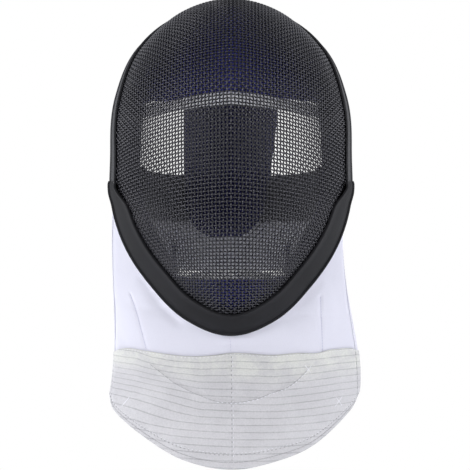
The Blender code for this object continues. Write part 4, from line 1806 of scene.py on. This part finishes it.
@dataclass
class StrapTabs:
    """Small woven tabs on the head side of the lower strap."""

    side: float = 55.5
    size: Triple = (4.0, 1.2, 20.0)
    rise: float = 12.5
    clearance: float = 0.6
    round_over: float = 0.4

    def build(self, palette: Palette) -> Pieces:
        """Make both tabs from rounded blocks.

        Args:
            palette: The finishes.

        Returns:
            The tabs.
        """
        top, low = LOWER_STRAP.route()
        pieces = []
        for name, sign in (("right", -1), ("left", 1)):
            behind = top[:, 1] > 50
            order = np.argsort(top[behind][:, 0])
            places, feet = top[behind][order], low[behind][order]
            target = sign * self.side
            foot, ahead = (read_at(at, places[:, 0], places) for at in (target, target + 1))
            floor = np.interp(target, places[:, 0], feet[:, 2])
            run = unit((ahead - foot) * LEVEL)
            head_side = np.array((run[1], -run[0], 0.0))
            head_side *= -np.sign(head_side[1])
            off = LOWER_STRAP.thickness / 2 + self.clearance + self.size[1] / 2
            centre = foot * LEVEL + np.array((0, 0, floor + self.rise)) + head_side * off
            pieces.append(self._tab("strap_tab_" + name, centre, run, palette))
        return pieces

    def _tab(self, name: str, centre: Array, run: Array, palette: Palette) -> Piece:
        """Make one tab with its edges rounded over.

        Args:
            name: The tab's name.
            centre: Its middle, in the face datum.
            run: Which way the strap runs there.
            palette: The finishes.

        Returns:
            The tab.
        """
        shape = bmesh.new()
        bmesh.ops.create_cube(shape, size=1.0)
        bmesh.ops.scale(shape, vec=Vector(self.size) * MM, verts=shape.verts)
        bmesh.ops.bevel(
            shape,
            geom=shape.edges,
            offset=self.round_over * MM,
            affect="EDGES",
            segments=3,
            profile=0.5,
            material=-1,
        )
        turn = Vector((1, 0, 0)).rotation_difference(Vector(run)).to_matrix()
        bmesh.ops.rotate(shape, cent=(0, 0, 0), matrix=turn, verts=shape.verts)
        bmesh.ops.translate(shape, vec=Vector(to_frame(centre)), verts=shape.verts)
        piece = finished(name, shape, palette[Look.NAVY], sharp=60)
        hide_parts(name)
        return piece


# across, out1, back1, down1, hem_side, hem_back, hem_up, out2, back2, up2
BIB_SECTIONS = (
    (-1.0, -10, 20, 56, -107.1, 25, -142.9, 11.5, -3, 53),
    (-0.8, -6, 18, 42, -100.5, 9, -156.6, 3, 0, 50),
    (-0.5, -6, 9, 24, -69.8, -22, -177.0, -1, 0, 54),
    (-0.25, -3, 5, 22, -38.5, -37, -192.5, 0, 1, 56),
    (0.0, 0, 4, 22, 0.9, -42, -199.4, 0, 1, 56),
    (0.25, 3, 5, 22, 40.0, -37, -192.4, 0, 1, 56),
    (0.5, 6, 9, 24, 71, -22, -180.5, 2, 0, 54),
    (0.8, 1, 18, 44, 103.0, 9, -156.0, 2, 0, 50),
    (1.0, -15, 20, 76, 113.4, 25, -139.5, 6, -4, 54),
)
# across, top
APRON_TOP = (
    (-1.0, -104.6), (-0.85, -103.2), (-0.75, -100.8), (-0.65, -99.5), (-0.5, -101.1),
    (-0.35, -103.2), (-0.2, -104.7), (-0.08, -103.4), (0.0, -101.3), (0.08, -101.9),
    (0.2, -103.5), (0.35, -102.5), (0.5, -103.0), (0.6, -100.9), (0.72, -100.4), (0.85, -100.9),
    (1.0, -103.6),
)


class BibShape:
    """The hanging cloth below the chin: from the chin edging down to its hem."""

    ear_angle = 10.0
    lift = -4.4
    tuck = 8.0
    step_out = 3.5
    step = 0.01

    def __init__(self) -> None:
        """Read the tables."""
        self.sections = SmoothTable(BIB_SECTIONS)
        self.apron_top = SmoothTable(APRON_TOP)

    def points(self, across: Array, down: Array) -> Array:
        """Find points on the middle of the cloth.

        Args:
            across: Places from the right ear (-1) past the chin (0) to the left ear (1).
            down: Places from inside the edging (-1) past it (0) to the hem (1).

        Returns:
            Points in the face datum.
        """
        across, down = np.broadcast_arrays(np.asarray(across, float), np.asarray(down, float))
        angle = -90 + across * (89 + self.ear_angle)
        tucked = np.minimum(down, 0.0)
        inset = -self.step_out - tucked * (self.tuck + self.step_out)
        start = FACE.station(angle, inset, self.lift)
        row = self.sections.read(across)
        hem = row[..., 3:6]
        lead_out = start + row[..., 0:3] * np.array((1, 1, -1))
        lead_in = hem + row[..., 6:9]
        t = np.maximum(down, 0.0)[..., None]
        s = 1 - t
        return start * s**3 + lead_out * 3 * s * s * t + lead_in * 3 * s * t * t + hem * t**3

    def normals(self, across: Array, down: Array) -> Array:
        """Find the outward directions of the cloth.

        Args:
            across: Places across, as in points().
            down: Places down, as in points().

        Returns:
            Unit vectors.
        """
        right, left = np.minimum(across + self.step, 1), np.maximum(across - self.step, -1)
        below, above = np.minimum(down + self.step, 1), np.maximum(down - self.step, 0)
        sideways = self.points(right, down) - self.points(left, down)
        falling = self.points(across, below) - self.points(across, above)
        return unit(np.cross(falling, sideways))

    def apron_start(self, across: Array) -> Array:
        """Find how far down the bib the apron's upper edge lies.

        Args:
            across: Places across, as in points().

        Returns:
            Places down.
        """
        height = self.apron_top.read(across)[..., 0]
        low, high = np.zeros_like(across), np.ones_like(across)
        return halved(low, high, lambda down: self.points(across, down)[..., 2] > height)


BIB = BibShape()


@dataclass(frozen=True)
class Seam:
    """A sewn line of the front view: points (across, up), and how deep and wide it pulls."""

    path: tuple[Span, ...]
    depth: float = 0.35
    reach: float = 1.1
    pucker: float = 0.0
    pucker_gap: float = 9.0
    pucker_reach: float = 7.0

    def pull(self, points: Array) -> Array:
        """Work out how far the seam moves the cloth.

        Args:
            points: Points of the cloth in the face datum.

        Returns:
            Distances along the cloth's normal, less than zero inwards.
        """
        flat = points[..., (0, 2)]
        best = np.full(flat.shape[:-1], 1e9)
        run = np.zeros_like(best)
        passed = 0.0
        line = np.array(self.path, float)
        for start, end in zip(line, line[1:]):
            way = end - start
            size = lengths(way)
            share = np.clip(((flat - start) @ way) / size**2, 0, 1)
            far = lengths(flat - (start + share[..., None] * way))
            nearer = far < best
            best = np.where(nearer, far, best)
            run = np.where(nearer, passed + share * size, run)
            passed += size
        groove = -self.depth * np.exp(-((best / self.reach) ** 2))
        ruffle = np.sin(run * 2 * math.pi / self.pucker_gap)
        ruffle = ruffle * np.exp(-((best / self.pucker_reach) ** 2))
        return groove + self.pucker * ruffle


CENTRE_SEAM = Seam(
    ((-1.5, -88), (-0.5, -94), (0.5, -120), (0.8, -160), (0.9, -200)), depth=0.4, pucker=0.12
)
LEFT_PANEL = Seam(((-88.5, -52), (-82, -70), (-73, -101)), depth=0.9, reach=1.5)
RIGHT_PANEL = Seam(((78, -54), (79, -80), (79.5, -103)), depth=0.9, reach=1.5)
SOFT_FOLDS = (
    Seam(((-76, -40), (-64, -58), (-46, -76)), depth=1.3, reach=5.0),
    Seam(((-90, -60), (-72, -66), (-58, -64)), depth=0.7, reach=5.0),
    Seam(((50, -74), (64, -70), (84, -72)), depth=0.8, reach=5.0),
    Seam(((88, -40), (96, -62), (92, -88)), depth=0.7, reach=6.0),
    Seam(((-104, -60), (-100, -84), (-92, -98)), depth=0.6, reach=5.0),
)
CURVED_SEAM = Seam(
    (
        (-70, -112), (-60, -119), (-47, -128), (-28.5, -136.5), (-12.2, -142), (3.4, -143),
        (20.5, -140.5), (33.5, -135.8), (51, -129.5), (66, -117),
    ),
    depth=-0.55,
    reach=1.3,
    pucker=0.28,
    pucker_gap=11.0,
)


@dataclass(frozen=True)
class ClothFace:
    """The outer face of a cloth: its middle as a table of points, its normals and its wall."""

    middle: Array
    normals: Array
    wall: float

    def follow(self, line: Sequence, whole: bool = False) -> Strand:
        """Drop a line of the front view onto the face.

        Args:
            line: Pairs of side and height in millimetres.
            whole: Keep the line as one straight stitch.

        Returns:
            The line on the cloth.
        """
        flat = finer(np.array(line, float), 4 if whole else 12)
        table, facing = self.middle.reshape(-1, 3), self.normals.reshape(-1, 3)
        far = lengths(table[None, :, (0, 2)] - flat[:, None])
        near = np.argsort(far, axis=1)[:, :4]
        weight = 1 / (np.take_along_axis(far, near, 1) ** 2 + 1e-3)
        weight = (weight / weight.sum(1, keepdims=True))[..., None]
        back = (table[near][..., 1:2] * weight).sum(1)
        way = unit((facing[near] * weight).sum(1))
        places = np.column_stack((flat[:, 0], back[:, 0], flat[:, 1]))
        return Strand(places + way * self.wall / 2, way)

    def along(self, across: Array, share: Array) -> Strand:
        """Read a line of the face's own grid.

        Args:
            across: Places from the first column (-1) to the last (1).
            share: Places from the first row (0) to the last (1).

        Returns:
            The line on the cloth.
        """
        rows, columns = (size - 1 for size in self.middle.shape[:2])
        column, row = (across + 1) / 2 * columns, share * rows
        low_c = np.clip(column.astype(int), 0, columns - 1)
        low_r = np.clip(row.astype(int), 0, rows - 1)
        x, y = (column - low_c)[:, None], (row - low_r)[:, None]
        read = []
        for table in (self.middle, self.normals):
            near = table[low_r, low_c] * (1 - x) + table[low_r, low_c + 1] * x
            far = table[low_r + 1, low_c] * (1 - x) + table[low_r + 1, low_c + 1] * x
            read.append(near * (1 - y) + far * y)
        normal = unit(read[1])
        return Strand(read[0] + normal * self.wall / 2, normal)


@dataclass
class Bib:
    """White bib with its side hems."""

    wall: float = 2.0
    columns: int = 150
    rows: int = 96
    tucked_rows: int = 5
    held_share: float = 0.12
    band_span: Span = (0.03, 0.985)
    band_stations: int = 60
    band_seam: float = 4.2
    flat: Span = (0.40, 0.24)

    def build(self, palette: Palette) -> Pieces:
        """Make the bib, its hem bands and its stitches.

        Args:
            palette: The finishes.

        Returns:
            The pieces.
        """
        across = np.linspace(-1, 1, self.columns + 1)
        tucked = np.linspace(-1, 0, self.tucked_rows, endpoint=False)
        down = np.concatenate((tucked, np.linspace(0, 1, self.rows + 1)))
        grid_across, grid_down = np.meshgrid(across, down)
        points = BIB.points(grid_across, grid_down)
        normals = BIB.normals(grid_across, np.maximum(grid_down, 0.0))
        free = eased(grid_down / self.held_share)
        seams = (CENTRE_SEAM, LEFT_PANEL, RIGHT_PANEL, *SOFT_FOLDS)
        pull = sum(seam.pull(points) for seam in seams)
        points = points + normals * (pull * free)[..., None]
        chart = np.stack((points[..., 0], points[..., 2]), -1) * MM
        bib = finished("bib", skin(points, Edge.OPEN, chart), palette[Look.WHITE], sharp=80)
        thicken(bib, self.wall)
        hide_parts("bib")
        face = ClothFace(points, normals, self.wall)
        paths = (LEFT_PANEL.path, RIGHT_PANEL.path, CENTRE_SEAM.path[:3])
        lines = [face.follow(path) for path in paths]
        # the panel seams' stitches carry a bluish grey that paints the seams' shade
        sewn = Stitches("panel_stitching_painted_shade", lines, length=1.8, gap=0.7, radius=0.2)
        panels = sewn.build(palette[Look.PAINTED_SEAM_SHADE])
        return [bib, *self._bands(palette), panels]

    @staticmethod
    def area(points: Array) -> float:
        """Add up the cloth's area, in square metres."""
        one = np.cross(points[1:, 1:] - points[:-1, :-1], points[:-1, 1:] - points[1:, :-1])
        return float(lengths(one).sum() / 2 * MM * MM)

    def _bands(self, palette: Palette) -> Pieces:
        """Fold a narrow band over each side edge, with its line of stitches.

        Args:
            palette: The finishes.

        Returns:
            The bands and their stitches.
        """
        pieces, seams = [], []
        down = np.linspace(*self.band_span, self.band_stations)
        half = self.wall / 2
        # how far in from the edge, and how far off the cloth's middle
        outline = (
            (5.2, half + 0.15),
            (5.0, half + 0.55),
            (0.5, half + 0.65),
            (-0.6, half * 0.6),
            (-0.75, 0.0),
            (-0.6, -half * 0.6),
            (0.5, -half - 0.65),
            (5.0, -half - 0.55),
            (5.2, -half - 0.15),
            (4.6, -half + 0.2),
            (4.6, half - 0.2),
        )
        for name, side in (("right", -1.0), ("left", 1.0)):
            edge = BIB.points(side, down)
            inner = BIB.points(side * 0.95, down)
            normal = BIB.normals(np.full_like(down, side * 0.995), down)
            inward = unit(inner - edge)
            points = np.stack([edge + inward * i + normal * lift for i, lift in outline], 1)
            chart = paired(np.arange(len(outline))[None] * 2.0, run_of(edge)[:, None]) * MM
            shape = skin(points, Edge.TUBE, chart)
            pieces.append(finished("bib_hem_" + name, shape, palette[Look.WHITE], sharp=80))
            sewn = edge + inward * self.band_seam + normal * (half + 0.6)
            seams.append(Strand(sewn, normal))
        stitches = Stitches("bib_stitching", seams, length=2.0, gap=0.9)
        return [*pieces, stitches.build(palette[Look.THREAD])]


# side, then how far the woven lines rise there above the middle: near the top, lower down, and
# near the hem
LINE_RISES = np.array(
    (
        (-100, 6.8, 14.5, 7.0),
        (-83, 6.2, 13.0, 6.0),
        (-68, 2.0, 10.5, 4.3),
        (-48, -0.9, 6.0, 2.2),
        (-26, -1.7, 1.0, 1.0),
        (0, 0, 0, 0),
        (38, -1.7, -1.4, -0.4),
        (94, 1.0, 2.0, 0),
    ),
    float,
)


@dataclass
class Apron:
    """Grey conductive cloth over the lower bib, with its hems, seams and tacks."""

    wall: float = 1.0
    columns: int = 190
    rows: int = 76
    hem: float = 4.6
    side_hem: float = 8.5
    second: float = 9.5
    hem_groove: float = 0.28
    hem_width: float = 0.9
    fold_width: float = 3.4
    fold_rise: float = 0.15
    wander: float = 0.25
    first_turn: Span = (-106, 34)
    second_turn: Span = (-142, 24)
    tall: float = 96.0
    half_width: float = 118.0
    clearance: float = 0.45
    flat: Span = (0.235, 0.115)
    middle_span: Span = (-104.0, -192.0)
    tack_radius: float = 0.2
    stitch_columns: int = 260
    stitch_rows: int = 90
    tacks: tuple = (
        ((-95.6, -150.5), (-88.4, -141.6)),
        ((90.6, -150.5), (97.6, -142)),
        ((91.6, -142), (97.2, -150)),
        ((63.4, -120), (69.6, -113)),
        ((64.0, -113), (69.0, -119.6)),
    )

    def points(self, across: Array, share: Array) -> tuple[Array, Array]:
        """Find points of the apron's middle and its outward directions.

        Args:
            across: Places across the bib.
            share: Places from the apron's upper edge (0) to its hem (1).

        Returns:
            Points and unit vectors in the face datum.
        """
        start = BIB.apron_start(across)
        down = start + (1 - start) * share
        normal = BIB.normals(across, down)
        lift = Bib.wall / 2 + self.clearance + self.wall / 2
        return BIB.points(across, down) + normal * lift, normal

    def chart(self, points: Array) -> Array:
        """Lay the map so that its lines run as the cloth's woven lines do.

        Args:
            points: Points of the apron in the face datum.

        Returns:
            Pairs in metres.
        """
        side, up = points[..., 0], points[..., 2]
        places = LINE_RISES[:, 0]
        top, middle, low = (np.interp(side, places, LINE_RISES[:, column]) for column in (1, 2, 3))
        first, second = (eased((at - up) / run) for at, run in (self.first_turn, self.second_turn))
        upper = top + (middle - top) * first
        rise = upper + (low - upper) * second
        return np.stack((side, up - rise), -1) * MM

    def relief(self, across: Array, share: Array, points: Array) -> Array:
        """Work out how seams, hems and puckers move the cloth.

        Args:
            across: Places across the bib.
            share: Places from the apron's upper edge (0) to its hem (1).
            points: Points of the apron there.

        Returns:
            Distances along the cloth's normals, in millimetres.
        """
        pull = sum(seam.pull(points) for seam in (CENTRE_SEAM, CURVED_SEAM))
        hem_far = (1 - share) * self.tall
        side_far = (1 - np.abs(across)) * self.half_width
        for far, at in ((hem_far, self.hem), (hem_far, self.second), (side_far, self.side_hem)):
            pull = pull - self.hem_groove * np.exp(-(((far - at) / self.hem_width) ** 2))
        fold = sum(np.exp(-((far / self.fold_width) ** 2)) for far in (side_far, hem_far))
        wander = np.sin(points[..., 0] * 0.045 + 1.1) * np.sin(points[..., 2] * 0.07 + 0.4)
        return pull + self.fold_rise * np.minimum(fold, 1.0) + self.wander * wander

    def build(self, palette: Palette) -> Pieces:
        """Make the apron and its stitching.

        Args:
            palette: The finishes.

        Returns:
            The pieces.
        """
        wide, tall = np.linspace(-1, 1, self.columns + 1), np.linspace(0, 1, self.rows + 1)
        across, share = np.meshgrid(wide, tall)
        points, normals = self.points(across, share)
        chart = self.chart(points)
        moved = points + normals * self.relief(across, share, points)[..., None]
        apron = finished("lame_apron", skin(moved, Edge.OPEN, chart), palette[Look.LAME], sharp=80)
        thicken(apron, self.wall)
        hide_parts("lame_apron")
        Bib.area(points)
        return [apron, *self._sewing(ClothFace(moved, normals, self.wall), palette)]

    def _sewing(self, face: ClothFace, palette: Palette) -> Pieces:
        """Sew the hems, the seams and the tacks, and lay grey lines of painted shade along the
        creases.

        Args:
            face: The apron's outer face.
            palette: The finishes.

        Returns:
            The stitches.
        """
        wide = np.linspace(-0.97, 0.97, self.stitch_columns)
        tall = np.linspace(0.03, 0.95, self.stitch_rows)
        side = 1 - self.side_hem / self.half_width
        edges = [
            face.along(wide, np.full_like(wide, 1 - self.hem / self.tall)),
            face.along(np.full_like(tall, -side), tall),
            face.along(np.full_like(tall, side), tall),
        ]
        curve, middle = np.array(CURVED_SEAM.path), np.array(CENTRE_SEAM.path)[2:]
        middle[(0, -1), 1] = self.middle_span
        inner = curve[curve[:, 0] > -20] - (0.0, 0.6)
        rows = [1 - (self.second + more) / self.tall for more in (0.0, 1.2)]
        low, lower = (face.along(wide * 0.96, np.full_like(wide, row)) for row in rows)
        top = face.along(wide, np.full_like(wide, 0.02))
        seams = [face.follow(inner), face.follow(middle + (1.0, 0.0))]
        grey, white = palette[Look.GREY_THREAD_AND_CREASE_SHADE], palette[Look.THREAD]
        # name, lines, length, gap and radius of the stitches, finish
        runs = (
            # almost unbroken grey lines along the hems and the curved seam: painted shade in their
            # creases
            ("apron_crease_shade_lines", [*edges, face.follow(curve)], 4.0, 0.35, 0.2, grey),
            ("apron_specks", [low, face.follow(middle)], 1.2, 2.6, 0.3, grey),
            ("apron_stitching", [lower, top], 1.2, 2.1, 0.14, white),
            ("seam_stitching", seams, 1.5, 2.3, 0.24, white),
        )
        made = [Stitches(*run).build(dressed) for *run, dressed in runs]
        tacks = [face.follow(line, whole=True) for line in self.tacks]
        return [*made, round_strands("bar_tacks", tacks, self.tack_radius, white)]


@dataclass(frozen=True)
class Lamp:
    """A large soft light, or a narrow beam if it has an angle, in metres, watts and radians."""

    name: str
    place: Triple
    size: float
    power: float
    beam: float = 0.0
    soft_rim: float = 0.6
    aim: Triple = (0.0, 0.0, -0.2)

    def hang(self) -> None:
        """Hang the light; a beam is kept out of highlights."""
        data = bpy.data.lights.new(self.name, "SPOT" if self.beam else "AREA")
        if self.beam:
            data.spot_size, data.spot_blend = self.beam, self.soft_rim
            data.shadow_soft_size = self.size / 2
        else:
            data.size = self.size
        data.energy = self.power
        light = bpy.data.objects.new(self.name, data)
        light.visible_glossy = not self.beam
        light.location = self.place
        way = Vector(self.aim) - Vector(self.place)
        light.rotation_euler = way.to_track_quat("-Z", "Y").to_euler()
        bpy.context.scene.collection.objects.link(light)


# name, place, size and power; the last two aim at the liner's upper white edge from behind
LAMPS = (
    Lamp("key_light", (-1.25, -1.7, 0.15), 0.8, 19.0),
    Lamp("fill_light", (1.45, -1.5, 0.1), 0.9, 12.0),
    Lamp("top_light", (0.0, -1.0, 1.8), 1.0, 6.0),
    Lamp("left_side_light", (1.8, -0.25, 0.1), 0.7, 6.5),
    Lamp("right_side_light", (-1.8, -0.25, 0.1), 0.7, 6.5),
    Lamp("left_back_light", (0.9, 1.5, -0.1), 0.25, 45.0, beam=0.09, aim=(0.0, -0.02, -0.06)),
    Lamp("right_back_light", (-0.9, 1.5, -0.1), 0.25, 45.0, beam=0.09, aim=(0.0, -0.02, -0.06)),
)


@dataclass
class Studio:
    """Pale floor, soft light and the camera, in metres."""

    distance: float = 1.25
    ear_back: float = -10.0
    lens: float = 108.8
    sensor: float = 36.0
    shift: float = 4 / 470
    near: float = 0.05
    far: float = 50.0
    floor_drop: float = 0.32
    floor_reach: float = 1.7
    glow_tint: Triple = (0.94, 0.96, 1.0)
    front_glow: float = 0.15
    back_glow: float = 1.7
    glow_ramp: Span = (-0.35, 0.45)
    gloss_cut: float = 0.85
    cut_ramp: Span = (0.1, 0.9)

    def build(self) -> None:
        """Set the stage."""
        scene = bpy.context.scene
        scene.view_settings.view_transform = "Standard"
        self._world(scene)
        self._floor()
        for lamp in LAMPS:
            lamp.hang()
        camera = bpy.data.objects.new("camera", bpy.data.cameras.new("camera"))
        camera.data.lens, camera.data.sensor_width = self.lens, self.sensor
        camera.data.shift_x = self.shift
        camera.data.clip_start, camera.data.clip_end = self.near, self.far
        camera.location = (0.0, -self.distance + self.ear_back * MM, -HEAD_REST[2] * MM)
        camera.rotation_euler = (math.pi / 2, 0.0, 0.0)
        scene.collection.objects.link(camera)
        scene.camera = camera

    def _world(self, scene: bpy.types.Scene) -> None:
        """Surround everything with white that glows softly, mostly from behind.

        Args:
            scene: Where the world goes.
        """
        world = bpy.data.worlds.new("white_room")
        world.use_nodes = True
        bench = Bench(world.node_tree)
        seen = world.node_tree.nodes["Background"]
        bench.feed(seen, {"Color": (1.0, 1.0, 1.0)})
        ray = bench.add("ShaderNodeTexCoord").outputs["Generated"]
        side, back, _ = bench.add("ShaderNodeSeparateXYZ", {"Vector": ray}).outputs
        strength = bench.ramp(back, *self.glow_ramp, self.front_glow, self.back_glow)
        rays = bench.add("ShaderNodeLightPath").outputs
        cut = bench.ramp(bench.math("ABSOLUTE", side), *self.cut_ramp, self.gloss_cut, 0.0)
        kept = bench.math("SUBTRACT", 1.0, bench.math("MULTIPLY", rays["Is Glossy Ray"], cut))
        strength = bench.math("MULTIPLY", strength, kept)
        inputs = {"Color": self.glow_tint, "Strength": strength}
        glow = bench.add("ShaderNodeBackground", inputs).outputs[0]
        inputs = {0: rays["Is Camera Ray"], 1: glow, 2: seen.outputs[0]}
        mixed = bench.add("ShaderNodeMixShader", inputs).outputs[0]
        bench.feed(world.node_tree.nodes["World Output"], {"Surface": mixed})
        scene.world = world

    def _floor(self) -> None:
        """Lay a pale round floor well below the bib."""
        shape = bmesh.new()
        bmesh.ops.create_circle(shape, cap_ends=True, segments=96, radius=self.floor_reach)
        drop = CAD_BOX[0].z - self.floor_drop
        bmesh.ops.translate(shape, vec=(0.0, 0.0, drop), verts=shape.verts)
        mesh = mesh_of("floor", shape)
        material = bpy.data.materials.new("pale_floor")
        material.use_nodes = True
        shader = material.node_tree.nodes["Principled BSDF"]
        Bench(material.node_tree).feed(shader, {"Base Color": (0.9, 0.9, 0.9), "Roughness": 0.9})
        mesh.materials.append(material)
        floor = bpy.data.objects.new("floor", mesh)
        bpy.context.scene.collection.objects.link(floor)


def main() -> None:
    """Build the mask and set the stage."""
    logging.basicConfig(level=logging.INFO, format="%(name)s %(message)s", stream=sys.stdout)
    palette = Palette()
    Studio().build()
    assemblies = (
        WireNet(),
        # the crown edging takes the rubber painted lighter and glossier as painted light
        EdgeBinding("crown_binding", 10.1, 169.9, CROWN_BINDING_WIDTHS, Look.PAINTED_LIT_RUBBER),
        EdgeBinding("chin_binding", -192.5, 12.5, CHIN_BINDING_WIDTHS, lap=1.7),
        Liner(),
        Tongue(),
        BACK_STRAP,
        LOWER_STRAP,
        StrapTabs(),
        Bib(),
        Apron(),
    )
    for assembly in assemblies:
        pieces = assembly.build(palette)
        log.info("%s: %s", type(assembly).__name__, ", ".join(piece.name for piece in pieces))
    bpy.context.view_layer.update()


if __name__ == "__main__":
    main()
